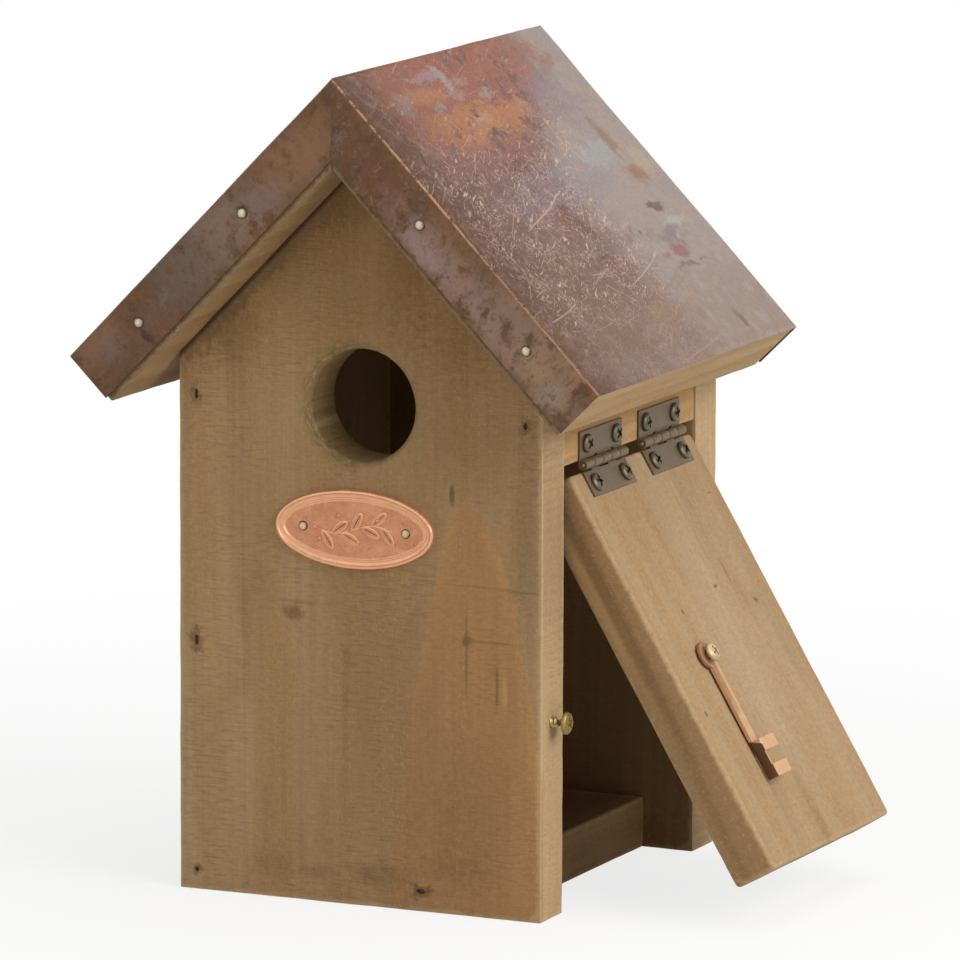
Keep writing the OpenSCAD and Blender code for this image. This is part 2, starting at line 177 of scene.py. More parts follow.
class Bench:
    """Edit mode on one piece, with its faces, edges and points picked by place."""

    def __init__(self, obj: Piece, mode: str = "VERT") -> None:
        """Args: obj is the piece to edit, and mode what is picked: VERT, EDGE or FACE."""
        self.obj = obj
        self.mode = mode

    def __enter__(self) -> "Bench":
        """Opens edit mode with nothing picked.

        Returns:
            The bench.
        """
        take(self.obj)
        bpy.ops.object.mode_set(mode="EDIT")
        bpy.ops.mesh.select_mode(type=self.mode)
        bpy.ops.mesh.select_all(action="DESELECT")
        return self

    def __exit__(self, *_: object) -> None:
        """Closes edit mode."""
        bpy.ops.object.mode_set(mode="OBJECT")

    def all(self) -> None:
        """Picks everything."""
        bpy.ops.mesh.select_all(action="SELECT")

    def points(self, test: Callable[[Vector], bool]) -> int:
        """Picks the points whose place passes a test, with the edges and faces between them.

        Args:
            test: Takes a point's place.

        Returns:
            The number of points picked.
        """
        mesh = bmesh.from_edit_mesh(self.obj.data)
        for vert in mesh.verts:
            vert.select = test(vert.co)
        mesh.select_flush_mode()
        for item in (*mesh.edges, *mesh.faces):
            item.select = all(v.select for v in item.verts)
        bmesh.update_edit_mesh(self.obj.data)
        return sum(v.select for v in mesh.verts)

    def _only(self, kind: str, test: Callable[[bmesh.types.BMEdge | bmesh.types.BMFace], bool]) -> None:
        """Picks only the edges or faces that pass a test.

        Args:
            kind: The word edges or faces.
            test: Takes an edge or face.
        """
        mesh = bmesh.from_edit_mesh(self.obj.data)
        for item in (*mesh.verts, *mesh.edges, *mesh.faces):
            item.select = False
        for item in [item for item in getattr(mesh, kind) if test(item)]:
            item.select_set(True)
        bmesh.update_edit_mesh(self.obj.data)

    def edges(self, test: Callable[[Vector, Vector, bool], bool]) -> None:
        """Picks the edges that pass a test of their two ends and whether they are on an open border."""
        self._only("edges", lambda edge: test(edge.verts[0].co, edge.verts[1].co, edge.is_boundary))

    def faces(self, test: Callable[[Vector, Vector], bool]) -> None:
        """Picks the faces that pass a test of their centre and normal."""
        self._only("faces", lambda face: test(face.calc_center_median(), face.normal))

    def extrude(self, move: Spot) -> None:
        """Extrudes what is picked by a move."""
        bpy.ops.mesh.extrude_region_move(TRANSFORM_OT_translate={"value": tuple(move)})

    def move(self, by: Spot, reach: float = 0.0) -> None:
        """Moves what is picked, and softly what lies within a reach of it."""
        soft = {"use_proportional_edit": True, "proportional_edit_falloff": "SMOOTH", "proportional_size": reach}
        bpy.ops.transform.translate(value=tuple(by), **(soft if reach else {}))

    def scale(self, by: Spot, centre: Spot) -> None:
        """Scales what is picked about a centre."""
        bpy.ops.transform.resize(value=tuple(by), center_override=tuple(centre))

    def cut(self, point: Spot, normal: Spot, clear: bool = False, fill: bool = True) -> None:
        """Cuts the whole piece along a plane.

        Args:
            point: A point of the plane.
            normal: The plane's normal.
            clear: Whether the side that the normal points to is cut away.
            fill: Whether the cut is closed where a side is cut away.
        """
        self.all()
        bpy.ops.mesh.bisect(plane_co=tuple(point), plane_no=tuple(normal),
                            clear_outer=clear, use_fill=clear and fill, threshold=1e-7)

    def tidy(self, distance: float = TOUCH) -> None:
        """Merges doubles and turns all faces outwards."""
        self.all()
        bpy.ops.mesh.remove_doubles(threshold=distance)
        bpy.ops.mesh.normals_make_consistent(inside=False)


def modify(obj: Piece, kind: str, **settings: object) -> Piece:
    """Adds a modifier to a piece and applies it.

    Args:
        obj: The piece.
        kind: The modifier's type.
        settings: The modifier's settings by name.

    Returns:
        The piece.
    """
    take(obj)
    bpy.ops.object.modifier_add(type=kind)
    modifier = obj.modifiers[-1]
    for name, value in settings.items():
        setattr(modifier, name, value)
    bpy.ops.object.modifier_apply(modifier=modifier.name)
    return obj


def carve(obj: Piece, cutter: Piece, operation: str = "DIFFERENCE") -> None:
    """Cuts a cutter out of a piece, or joins it on, and takes the cutter away."""
    modify(obj, "BOOLEAN", operation=operation, solver="EXACT", object=cutter)
    bpy.data.objects.remove(cutter)


def ripple(obj: Piece, seed: int, depth: float, grain: float) -> None:
    """Makes a piece's faces slightly uneven.

    Args:
        obj: The piece.
        seed: Picks the part of the noise that is used.
        depth: Height from lowest to highest.
        grain: Size of the bumps.
    """
    texture = bpy.data.textures.new("ripple", "CLOUDS")
    texture.noise_scale = grain
    texture.noise_depth = 1
    shift = Vector((0.37 * seed, 0.23 * seed, 0.71 * seed))
    obj.data.transform(Matrix.Translation(shift))
    modify(obj, "DISPLACE", texture=texture, texture_coords="LOCAL", strength=depth, mid_level=0.5)
    obj.data.transform(Matrix.Translation(-shift))
    bpy.data.textures.remove(texture)


def soften(obj: Piece, width: float, segments: int = 3, angle: float = 35.0) -> None:
    """Rounds a piece's sharp edges."""
    modify(obj, "BEVEL", width=width, segments=segments, limit_method="ANGLE",
           angle_limit=math.radians(angle), use_clamp_overlap=True)


def smooth(obj: Piece, angle: float = 35.0) -> Piece:
    """Shades a piece smoothly except across sharp edges."""
    take(obj)
    bpy.ops.object.shade_smooth_by_angle(angle=math.radians(angle))
    return obj


def join(pieces: Sequence[Piece], name: str) -> Piece:
    """Joins pieces into one and names it.

    Args:
        pieces: The pieces; the first one keeps its object.
        name: The joined piece's name.

    Returns:
        The joined piece.
    """
    take(pieces[0])
    for piece in pieces:
        piece.select_set(True)
    bpy.ops.object.join()
    pieces[0].name = pieces[0].data.name = name
    return settle(pieces[0])


def copy_of(obj: Piece, matrix: Matrix) -> Piece:
    """Copies a piece, with a mesh of its own, to another place.

    Args:
        obj: The piece.
        matrix: Moves the copy from the piece.

    Returns:
        The copy.
    """
    twin = obj.copy()
    twin.data = obj.data.copy()
    bpy.context.scene.collection.objects.link(twin)
    return place(twin, matrix)


def lathe(name: str, rings: Sequence[tuple[float, float]], sides: int = 32) -> Piece:
    """Turns a round piece about the Z axis.

    Args:
        name: The piece's name.
        rings: Height and radius of each ring, from the bottom up.
        sides: Number of sides.

    Returns:
        The closed round piece.
    """
    height, radius = rings[0]
    obj = start(bpy.ops.mesh.primitive_circle_add, name, vertices=sides, radius=radius, fill_type="NGON",
                location=(0, 0, height))
    with Bench(obj, "FACE") as bench:
        bench.all()
        for new_height, new_radius in rings[1:]:
            bench.extrude((0, 0, new_height - height))
            share = new_radius / radius
            bench.scale((share, share, 1), (0, 0, new_height))
            height, radius = new_height, new_radius
        bench.tidy()
    return obj


# ---- Shader nodes ----

def operator(operation: str, turned: bool = False) -> Callable[["Value", "Value | float"], "Value"]:
    """Makes an arithmetic operator that places a Math node.

    Args:
        operation: The node's operation.
        turned: Whether the other value comes first.

    Returns:
        The method.
    """
    def method(self: "Value", other: "Value | float") -> "Value":
        """Result of the Math node."""
        return self.graph.math(operation, *((other, self) if turned else (self, other)))
    return method


class Value:
    """A number, vector or colour of a shader.

    Arithmetic on it places Math nodes, and | and & give the greater and the lesser of two.
    """

    def __init__(self, graph: "Graph", socket: Socket) -> None:
        """Args: graph holds the nodes, and socket gives the value."""
        self.graph, self.socket = graph, socket

    __add__ = __radd__ = operator("ADD")
    __mul__ = __rmul__ = operator("MULTIPLY")
    __sub__, __rsub__ = operator("SUBTRACT"), operator("SUBTRACT", turned=True)
    __truediv__, __rtruediv__ = operator("DIVIDE"), operator("DIVIDE", turned=True)
    __lt__, __gt__ = operator("LESS_THAN"), operator("GREATER_THAN")
    __or__, __and__ = operator("MAXIMUM"), operator("MINIMUM")

    def __abs__(self) -> "Value":
        """Its size without the sign."""
        return self.graph.math("ABSOLUTE", self)

    def held(self) -> "Value":
        """The value held between 0 and 1."""
        return self.graph.make("ShaderNodeClamp", {0: self})

    def fit(self, low: "Value | float", high: "Value | float", new_low: float = 0.0, new_high: float = 1.0,
            kind: str = "SMOOTHSTEP") -> "Value":
        """Maps the value from one range to another and holds it there."""
        feeds = dict(enumerate((self, low, high, new_low, new_high)))
        return self.graph.make("ShaderNodeMapRange", feeds, interpolation_type=kind)

    def mix(self, share: "Value | float", other: object, blend: str = "MIX") -> "Value":
        """Lays another colour over this one."""
        return self.graph.mix(share, self, other, blend)

    def bump(self, strength: float, distance: float) -> "Value":
        """Normal from a height, its distance in metres."""
        return self.graph.make("ShaderNodeBump", {"Height": self, "Strength": strength, "Distance": distance})

    def parts(self, kind: str = "XYZ") -> "list[Value]":
        """The three parts of a vector, or of a colour with kind="Color"."""
        return self.graph.outputs("ShaderNodeSeparate" + kind, {0: self})

    def mapped(self, scale: Point = (1, 1, 1), turn: Point = (0, 0, 0)) -> "Value":
        """Scales and turns a vector."""
        return self.graph.make("ShaderNodeMapping", {"Vector": self, "Rotation": turn, "Scale": scale})

    def turned(self, angle: "Value | float") -> "Value":
        """Turns a vector about Z."""
        return self.graph.make("ShaderNodeVectorRotate", {"Vector": self, "Angle": angle}, rotation_type="Z_AXIS")

    def scaled(self, by: "Value | float") -> "Value":
        """A vector times a number."""
        return self.graph.make("ShaderNodeVectorMath", {0: self, "Scale": by}, operation="SCALE")

    def noise(self, scale: "Value | float | Point" = 1.0, detail: float = 2.0, rough: float = 0.5,
              distortion: float = 0.0, out: int = 0) -> "Value":
        """Noise at a vector, or its colour with out=1; three scales stretch it."""
        spot, size = (self.mapped(scale), 1.0) if isinstance(scale, tuple) else (self, scale)
        return self.graph.make("ShaderNodeTexNoise", {"Vector": spot, "Scale": size, "Detail": detail,
                                                      "Roughness": rough, "Distortion": distortion}, out)

    def net(self, scale: "Value | float", **settings: object) -> "list[Value]":
        """Outputs of a Voronoi net at a vector: distance, colour and place of the cell."""
        return self.graph.outputs("ShaderNodeTexVoronoi", {"Vector": self, "Scale": scale}, **settings)


class Graph:
    """Places and joins the nodes of one node tree."""

    def __init__(self, tree: Tree) -> None:
        """Args: tree is the node tree to fill."""
        self.tree = tree

    def node(self, kind: str, feeds: dict[str | int, object] | None = None, **settings: object) -> bpy.types.Node:
        """Adds a node.

        Args:
            kind: The node's type.
            feeds: Values by input name or number.
            settings: The node's own settings.

        Returns:
            The new node.
        """
        made = self.tree.nodes.new(kind)
        for name, value in settings.items():
            setattr(made, name, value)
        for name, value in (feeds or {}).items():
            self.feed(made.inputs[name], value)
        return made

    def outputs(self, kind: str, feeds: dict[str | int, object] | None = None, **settings: object) -> list[Value]:
        """Adds a node and gives all its outputs."""
        return [Value(self, socket) for socket in self.node(kind, feeds, **settings).outputs]

    def make(self, kind: str, feeds: dict[str | int, object] | None = None, out: int | str = 0,
             **settings: object) -> Value:
        """Adds a node and gives one of its outputs."""
        return Value(self, self.node(kind, feeds, **settings).outputs[out])

    def feed(self, socket: Socket, value: object) -> None:
        """Links a value into an input, or sets the input's own number, vector or paint colour.

        Args:
            socket: The input.
            value: A value, a number, a vector or a paint colour.
        """
        if isinstance(value, Value):
            self.tree.links.new(value.socket, socket)
        elif socket.type == "RGBA" and len(value) == 3:
            socket.default_value = colour(*value)
        else:
            socket.default_value = value

    def math(self, operation: str, *values: object) -> Value:
        """Result of a Math node."""
        return self.make("ShaderNodeMath", dict(enumerate(values)), operation=operation)

    def vector(self, operation: str, *values: object) -> Value:
        """Result of a Vector Math node."""
        out = "Value" if operation == "LENGTH" else 0
        return self.make("ShaderNodeVectorMath", dict(enumerate(values)), out, operation=operation)

    def away(self, x: Value, y: Value) -> Value:
        """Distance from the origin."""
        return self.math("SQRT", x * x + y * y)

    def mix(self, share: object, first: object, second: object, blend: str = "MIX") -> Value:
        """Mixes two colours."""
        return self.make("ShaderNodeMix", {"Factor": share, 6: first, 7: second}, 2, data_type="RGBA",
                         blend_type=blend)

    def bind(self, x: object, y: object, z: object = 0.0) -> Value:
        """A vector from three values."""
        return self.make("ShaderNodeCombineXYZ", {0: x, 1: y, 2: z})

    def spot(self) -> Value:
        """Object coordinates in millimetres."""
        return self.make("ShaderNodeTexCoord", out="Object").scaled(1000.0)

    def effect(self, tree: Tree, **feeds: object) -> list[Value]:
        """Places a shared effect with values of its own; underscores in names stand for spaces."""
        named = {name.replace("_", " ").capitalize(): value for name, value in feeds.items()}
        return self.outputs("ShaderNodeGroup", named, node_tree=tree)

    def close(self, **outputs: Value) -> Tree:
        """Ends a node group with its value outputs.

        Args:
            outputs: Values by output name.

        Returns:
            The finished group.
        """
        for name in outputs:
            self.tree.interface.new_socket(name.capitalize(), in_out="OUTPUT", socket_type="NodeSocketFloat")
        self.node("NodeGroupOutput", dict(enumerate(outputs.values())))
        return self.tree


def group(name: str, **inputs: float | None) -> list[Graph | Value]:
    """Starts a node group.

    Args:
        name: The group's name.
        inputs: Input names with a number, or None for a vector.

    Returns:
        The graph, then the inputs' values in order.
    """
    tree = bpy.data.node_groups.new(name, "ShaderNodeTree")
    for label, value in inputs.items():
        kind = "NodeSocketVector" if value is None else "NodeSocketFloat"
        socket = tree.interface.new_socket(label.replace("_", " ").capitalize(), in_out="INPUT", socket_type=kind)
        if value is not None:
            socket.default_value = value
    graph = Graph(tree)
    return [graph, *graph.outputs("NodeGroupInput")[:len(inputs)]]


class Effects:
    """Shader effects that several finishes share, each built once."""

    def __init__(self) -> None:
        """Builds every effect."""
        self.grain = self._grain()
        self.saw_marks = self._saw_marks()
        self.edge_wear = self._edge_wear()
        self.scratches = self._scratches()
        self.mottle = self._mottle()
        self.pits = self._pits()
        self.blot = self._blot()
        self.crackle = self._crackle()
        self.scuffs = self._scuffs()

    @staticmethod
    def _grain() -> Tree:
        """Wood grain along Z, in millimetres: year rings about a distant core, and fine fibres.

        Returns:
            The node group.
        """
        g, spot, spacing, core_x, core_y = group("wood_grain", vector=None, spacing=8.0, core_x=8.0, core_y=55.0)
        x, y, z = spot.parts()
        sway = (spot.noise((0.02, 0.02, 0.006), 3, 0.55) - 0.5) * 20
        rings = g.away(x - core_x + sway, y - core_y + z * 0.03) / spacing
        phase = g.math("FRACT", rings)
        return g.close(bands=phase.fit(0, 0.72) * phase.fit(0.84, 1, 1, 0),
                       fibres=spot.noise((0.6, 0.6, 0.03), 3, 0.6), clouds=spot.noise((0.09, 0.09, 0.025), 4, 0.6))

    @staticmethod
    def _saw_marks() -> Tree:
        """Fine saw lines across the grain, stronger in patches.

        Returns:
            The node group.
        """
        spacing, reach = 0.75, 6.0
        g, spot = group("saw_marks", vector=None)
        x, y, z = spot.parts()
        across, deep = x / reach, y / reach
        waver = g.bind(across, deep, z * 0.05).noise(0.2, 2) * 2
        lines = g.bind(across, deep, (z + waver) / spacing).noise()
        return g.close(lines=lines.fit(0.42, 0.72), patches=spot.noise((0.05, 0.05, 0.03), 3, 0.6).fit(0.45, 0.62))

    @staticmethod
    def _edge_wear() -> Tree:
        """Wear that follows a piece's edges, from its edge attribute in millimetres.

        Returns:
            The node group.
        """
        g, spot, width, raggedness = group("edge_wear", vector=None, width=1.4, raggedness=1.6)
        near = g.make("ShaderNodeAttribute", out="Fac", attribute_name="edge")
        torn = (spot.noise(0.45, 4, 0.65) - 0.5) * raggedness * 2
        return g.close(wear=((near + torn) / width).fit(0.2, 1.3, 1, 0))

    @staticmethod
    def _scratches() -> Tree:
        """Short straight scratches, one in each cell of a loose net, on a flat vector.

        Returns:
            The node group.
        """
        g, spot, cell, width, length, share, lean, spread = group(
            "scratches", vector=None, cell=8.0, width=0.2, length=5.0, share=0.7, lean=0.5, spread=2.0)
        _, shade, place_out, *_ = spot.net(1 / cell, voronoi_dimensions="2D")
        red, green, blue = shade.parts("Color")
        x, y, _ = g.vector("SUBTRACT", spot, place_out).turned(lean + (red - 0.5) * spread).parts()
        side = abs(y + x * x * (green - 0.5) * 0.14 / cell)
        thin = (1 - side / (width * (blue * 1.2 + 0.45))).held()
        ends = (1 - abs(x) / (length * (green + 0.35))).held()
        return g.close(mask=thin.fit(0, 0.7) * ends.fit(0, 0.5) * (blue < share) * (green * 0.7 + 0.3))

    @staticmethod
    def _mottle() -> Tree:
        """Cloudy stains at two sizes, their edges crisp or soft.

        Returns:
            The node group.
        """
        g, spot, size, crisp, seed = group("mottle", vector=None, size=20.0, crisp=0.5, seed=0.0)
        spot = g.vector("ADD", spot, g.bind(seed, seed * 1.7, seed * 0.6))
        half = 0.32 - crisp * 0.3
        mask = (spot.noise(1 / size, 6, 0.6, 0.4) - (0.5 - half)) / (half * 2)
        return g.close(mask=mask.held(), fine=spot.noise(9 / size, 3, 0.6))

    @staticmethod
    def _blot() -> Tree:
        """One oval stain on a flat vector, its edge torn and more or less soft.

        Returns:
            The node group.
        """
        g, spot, centre, radii, torn, soft = group("blot", vector=None, centre=None, radii=None, torn=0.0, soft=0.4)
        off = g.vector("DIVIDE", g.vector("SUBTRACT", spot, centre), radii)
        return g.close(mask=(g.vector("LENGTH", off) + torn).fit(1 + soft, 1 - soft))

    @staticmethod
    def _crackle() -> Tree:
        """A fine irregular web of lines on a flat vector.

        Returns:
            The node group.
        """
        g, spot, cell, width = group("crackle", vector=None, cell=2.2, width=0.2)
        bent = g.vector("ADD", spot, spot.noise(0.9, 2, out=1).scaled(cell))
        away, *_ = bent.net(1 / cell, voronoi_dimensions="2D", feature="DISTANCE_TO_EDGE")
        return g.close(mask=(away * cell / width).fit(0.3, 1.2, 1, 0))

    @staticmethod
    def _scuffs() -> Tree:
        """Tapered strokes of uneven length that lean one way, on a flat vector.

        Returns:
            The node group.
        """
        g, spot, lean, long, thin, low, high = group("scuffs", vector=None, lean=0.5, long=3.0, thin=0.5, low=0.6,
                                                     high=0.68)
        x, y, _ = spot.turned(lean).parts()
        return g.close(mask=g.bind(x / long, y / thin).noise(1.0, 1.5).fit(low, high, kind="LINEAR"))

    @staticmethod
    def _pits() -> Tree:
        """Small pits and specks, here and there.

        Returns:
            The node group.
        """
        g, spot, cell, radius, share = group("pits", vector=None, cell=4.2, radius=0.42, share=0.3)
        away, shade, *_ = spot.scaled(1 / cell).net(1.0)
        red, green, _ = shade.parts("Color")
        return g.close(mask=(away * cell / (radius * (green + 0.3))).fit(0.5, 1, 1, 0) * (red < share))


# ---- Finishes ----

class Cut(Enum):
    """How a board lies: the turn that brings its grain upright, wide face to the front."""

    UPRIGHT = (0.0, 0.0, 0.0)
    SIDEWAYS = (0.0, 0.0, math.pi / 2)
    LYING = (math.pi / 2, 0.0, 0.0)


def own_nodes(owner: Material | bpy.types.World) -> Graph:
    """Gives a material or world an empty node tree."""
    owner.use_nodes = True
    owner.node_tree.nodes.clear()
    return Graph(owner.node_tree)


def shader(name: str, roughness: float, metallic: float,
           level: float = 0.5) -> tuple[Material, Graph, bpy.types.Node]:
    """Starts a material.

    Args:
        name: The material's name.
        roughness: Plain roughness.
        metallic: Plain metallic value.
        level: Plain specular level.

    Returns:
        The material, its graph and its Principled node.
    """
    material = bpy.data.materials.new(name)
    g = own_nodes(material)
    body = g.node("ShaderNodeBsdfPrincipled", {"Roughness": roughness, "Metallic": metallic,
                                               "Specular IOR Level": level})
    g.node("ShaderNodeOutputMaterial", {"Surface": Value(g, body.outputs[0])})
    return material, g, body


@dataclass(frozen=True)
class Mark:
    """An oval stain, knot or line on a flat face: place, half sizes in millimetres, colour, share, softness
    and raggedness."""

    x: float
    y: float
    wide: float
    high: float
    shade: Paint
    share: float = 0.5
    soft: float = 0.5
    torn: float = 1.0


def marked(*rows: tuple[object, ...]) -> tuple[Mark, ...]:
    """Marks from rows of their values."""
    return tuple(Mark(*row) for row in rows)


def lay(tone: Value, many: Sequence[Mark], effects: Effects, flat: Value, torn: Value) -> Value:
    """Lays marks over a colour.

    Args:
        tone: The colour so far.
        many: The marks, the lowest first.
        effects: The shared effects.
        flat: Place on the face in millimetres.
        torn: Raggedness from -0.5 to 0.5.

    Returns:
        The new colour.
    """
    for mark in many:
        mask = tone.graph.effect(effects.blot, vector=flat, centre=(mark.x, mark.y, 0),
                                 radii=(mark.wide, mark.high, 1), torn=torn * mark.torn, soft=mark.soft)[0]
        tone = tone.mix(mask * mark.share, mark.shade)
    return tone


@dataclass(frozen=True)
class Side:
    """Another tone where a board's coordinate along one axis lies between two values, in millimetres."""

    axis: int
    start: float
    full: float
    shade: Paint
    share: float = 0.6


@dataclass(frozen=True)
class Pine:
    """Impregnated sawn pine, weathered to a greenish brown."""

    name: str
    light: Paint = (168, 137, 100)
    dark: Paint = (148, 116, 80)
    stain: Paint = (118, 92, 60)
    worn: Paint = (190, 164, 126)
    golden: Paint = (160, 124, 78)
    turn: Point = Cut.UPRIGHT.value
    shift: Point = (0.0, 0.0, 0.0)
    core: tuple[float, float] = (8.0, 55.0)
    spacing: float = 8.0
    gold: float = 0.35
    cloud: float = 0.35
    saw: float = 0.5
    fleck: float = 0.07
    hair: float = 0.2
    pits: float = 0.4
    wear: float = 0.45
    flame: bool = False
    hole: bool = False
    # Turns on the painted shadow below the roof boards on a wall's sloping top edges.
    gable: bool = False
    level: float = 0.0
    outer: float = 0.0
    face: tuple[int, int] = (0, 2)
    marks: tuple[Mark, ...] = ()
    streaks: tuple[Mark, ...] = ()
    sides: tuple[Side, ...] = ()

    def build(self, effects: Effects) -> Material:
        """Makes the material.

        Args:
            effects: The shared effects.

        Returns:
            The material.
        """
        material, g, body = shader(self.name, 0.78, 0.0, 0.25)
        spot = g.spot()
        own = spot.mapped(turn=self.turn)
        wood = g.vector("ADD", own, self.shift)
        bands, fibres, clouds = g.effect(effects.grain, vector=wood, spacing=self.spacing, core_x=self.core[0],
                                         core_y=self.core[1])
        lines, patches = g.effect(effects.saw_marks, vector=wood)
        pits = g.effect(effects.pits, vector=wood)[0]
        tone = g.mix(bands * 0.45, self.light, self.dark)
        tone = tone.mix(clouds.fit(0.45, 0.8, 0, self.cloud), self.stain)
        stripes = wood.noise((0.11, 0.11, 0.005), 3, 0.6)
        tone = tone.mix(stripes.fit(0.38, 0.62, 0, self.gold), self.golden)
        narrow = wood.noise((0.33, 0.33, 0.006), 2, 0.6)
        tone = tone.mix(narrow.fit(0.52, 0.64, 0, self.gold * 0.8), self.golden)
        tone = tone.mix(narrow.fit(0.46, 0.34, 0, self.gold * 0.4), self.stain)
        axes = own.parts()
        for side in self.sides:
            mask = (axes[side.axis] + (lines - 0.5) * 0.5).fit(side.start, side.full)
            tone = tone.mix(mask * side.share, side.shade)
        if self.flame:
            tone = self._flame(spot, tone)
        if self.hole:
            tone = self._hole(spot, tone)
        for many, (across, up), offset in ((self.marks, self.face, 0.0), (self.streaks, (0, 2), self.outer)):
            if many:
                flat = g.bind(axes[across] - offset, axes[up] - self.level)
                tone = lay(tone, many, effects, flat, (flat.noise(0.4, 4, 0.7) - 0.5) * 2.2)
        fleck = wood.noise((0.5, 0.5, 1.15), 4, 0.72)
        value = (1 + fibres.fit(0.3, 0.7, -0.05, 0.05, "LINEAR")
                 + (0.25 - lines) * (patches * 0.9 + 0.1) * (0.12 * self.saw)
                 + fleck.fit(0.36, 0.64, -self.fleck, self.fleck, "LINEAR"))
        tone = tone.mix(1.0, g.bind(value, value, value), "MULTIPLY")
        hairs = wood.mapped(turn=(0.3, 0.25, 0.0)).noise((1.9, 1.9, 0.35), 2, 0.6)
        share = stripes.fit(0.4, 0.55, 0.5, 1.3) * self.hair
        tone = tone.mix(hairs.fit(0.58, 0.68) * share, self.worn)
        tone = tone.mix(hairs.fit(0.4, 0.32) * share, self.stain)
        share = g.effect(effects.edge_wear, vector=spot)[0] * self.wear
        # Painted shadow below the roof boards; the worn edges give way to it there.
        if self.gable:
            below, tone = self._under_roof(spot, tone)
            share = share * below.fit(1, 3)
        tone = tone.mix(share, self.worn).mix(pits * self.pits, self.stain)
        g.feed(body.inputs["Base Color"], tone)
        g.feed(body.inputs["Roughness"], clouds.fit(0.2, 0.8, 0.7, 0.86, "LINEAR"))
        height = fibres * 0.4 + lines * (-0.3 * self.saw) + fleck * 0.6 - pits * 0.7
        g.feed(body.inputs["Normal"], height.bump(0.4, 0.25 * MM))
        return material

    @staticmethod
    def _under_roof(spot: Value, tone: Value) -> tuple[Value, Value]:
        """Adds a painted shadow line below the roof boards, and a ragged darker band under it, most on the left.

        Args:
            spot: Object coordinates in millimetres.
            tone: The colour so far.

        Returns:
            The distance below the roof boards, and the new colour.
        """
        x, _, z = spot.parts()
        s = SIZES
        below = (s.side_h / MM - z) * math.cos(s.pitch) + (s.half_w / MM - abs(x)) * math.sin(s.pitch)
        ragged = (spot.noise((0.35, 0.35, 0.22), 5, 0.7) - 0.5) * 16
        tone = tone.mix((below + ragged).fit(2, 7, 0.5, 0) * x.fit(-34, 4, 1, 0.15), (88, 70, 42))
        # Painted shadow line where the wall meets the roof boards.
        return below, tone.mix(below.fit(0.5, 2, 0.85, 0) * x.fit(-4, 4, 1, 0.6), (60, 44, 26))

    @staticmethod
    def _flame(spot: Value, tone: Value) -> Value:
        """Adds the pale flame-shaped patch of planed-away stain, low on the front.

        Args:
            spot: Object coordinates in millimetres.
            tone: The colour so far.

        Returns:
            The new colour.
        """
        x, y, z = spot.parts()
        ragged = (spot.noise((0.5, 0.5, 0.16), 3) - 0.5) * 2
        drop = (125 - z) | 0.0
        half = (spot.graph.math("SQRT", drop) * 2.5) & (drop * 1.6 + 2)
        inside = half + ragged - abs(x - 37.7 + z.fit(100, 125, 0, 2.5))
        here = (y < SIZES.front_y / MM + 2) * (drop > 0.0)
        tone = tone.mix(inside.fit(-0.35, 0.35) * z.fit(10, 50, 0.7, 0.8) * here, (162, 120, 74))
        rim = inside.fit(-0.5, 0.3) * inside.fit(0.5, 6, 1, 0) * z.fit(20, 60, 0.5, 1)
        return tone.mix(rim * here * 0.42, (182, 140, 90))

    @staticmethod
    def _hole(spot: Value, tone: Value) -> Value:
        """Adds the green-grey fuzz round the entrance hole.

        Args:
            spot: Object coordinates in millimetres.
            tone: The colour so far.

        Returns:
            The new colour.
        """
        g = spot.graph
        x, _, z = spot.parts()
        dx, dz = x - 1, z - 152.7
        away = g.away(dx, dz)
        ring = (away + (spot.noise(0.25, 4) - 0.5) * 5 + dx.fit(-8, 10, -1, 1.5)).fit(17, 21, 1, 0)
        tone = tone.mix(ring * 0.6, (98, 90, 54)).mix(away.fit(17.2, 16.9, 0, 0.5), (138, 112, 68))
        fuzz = g.bind(away * 1.6, g.math("ARCTAN2", dz, dx) * 5).noise()
        tone = tone.mix(ring * fuzz.fit(0.54, 0.64) * dx.fit(6, -10, 0.25, 0.5), (170, 152, 106))
        return tone.mix(ring * fuzz.fit(0.44, 0.34) * 0.4, (60, 50, 30))


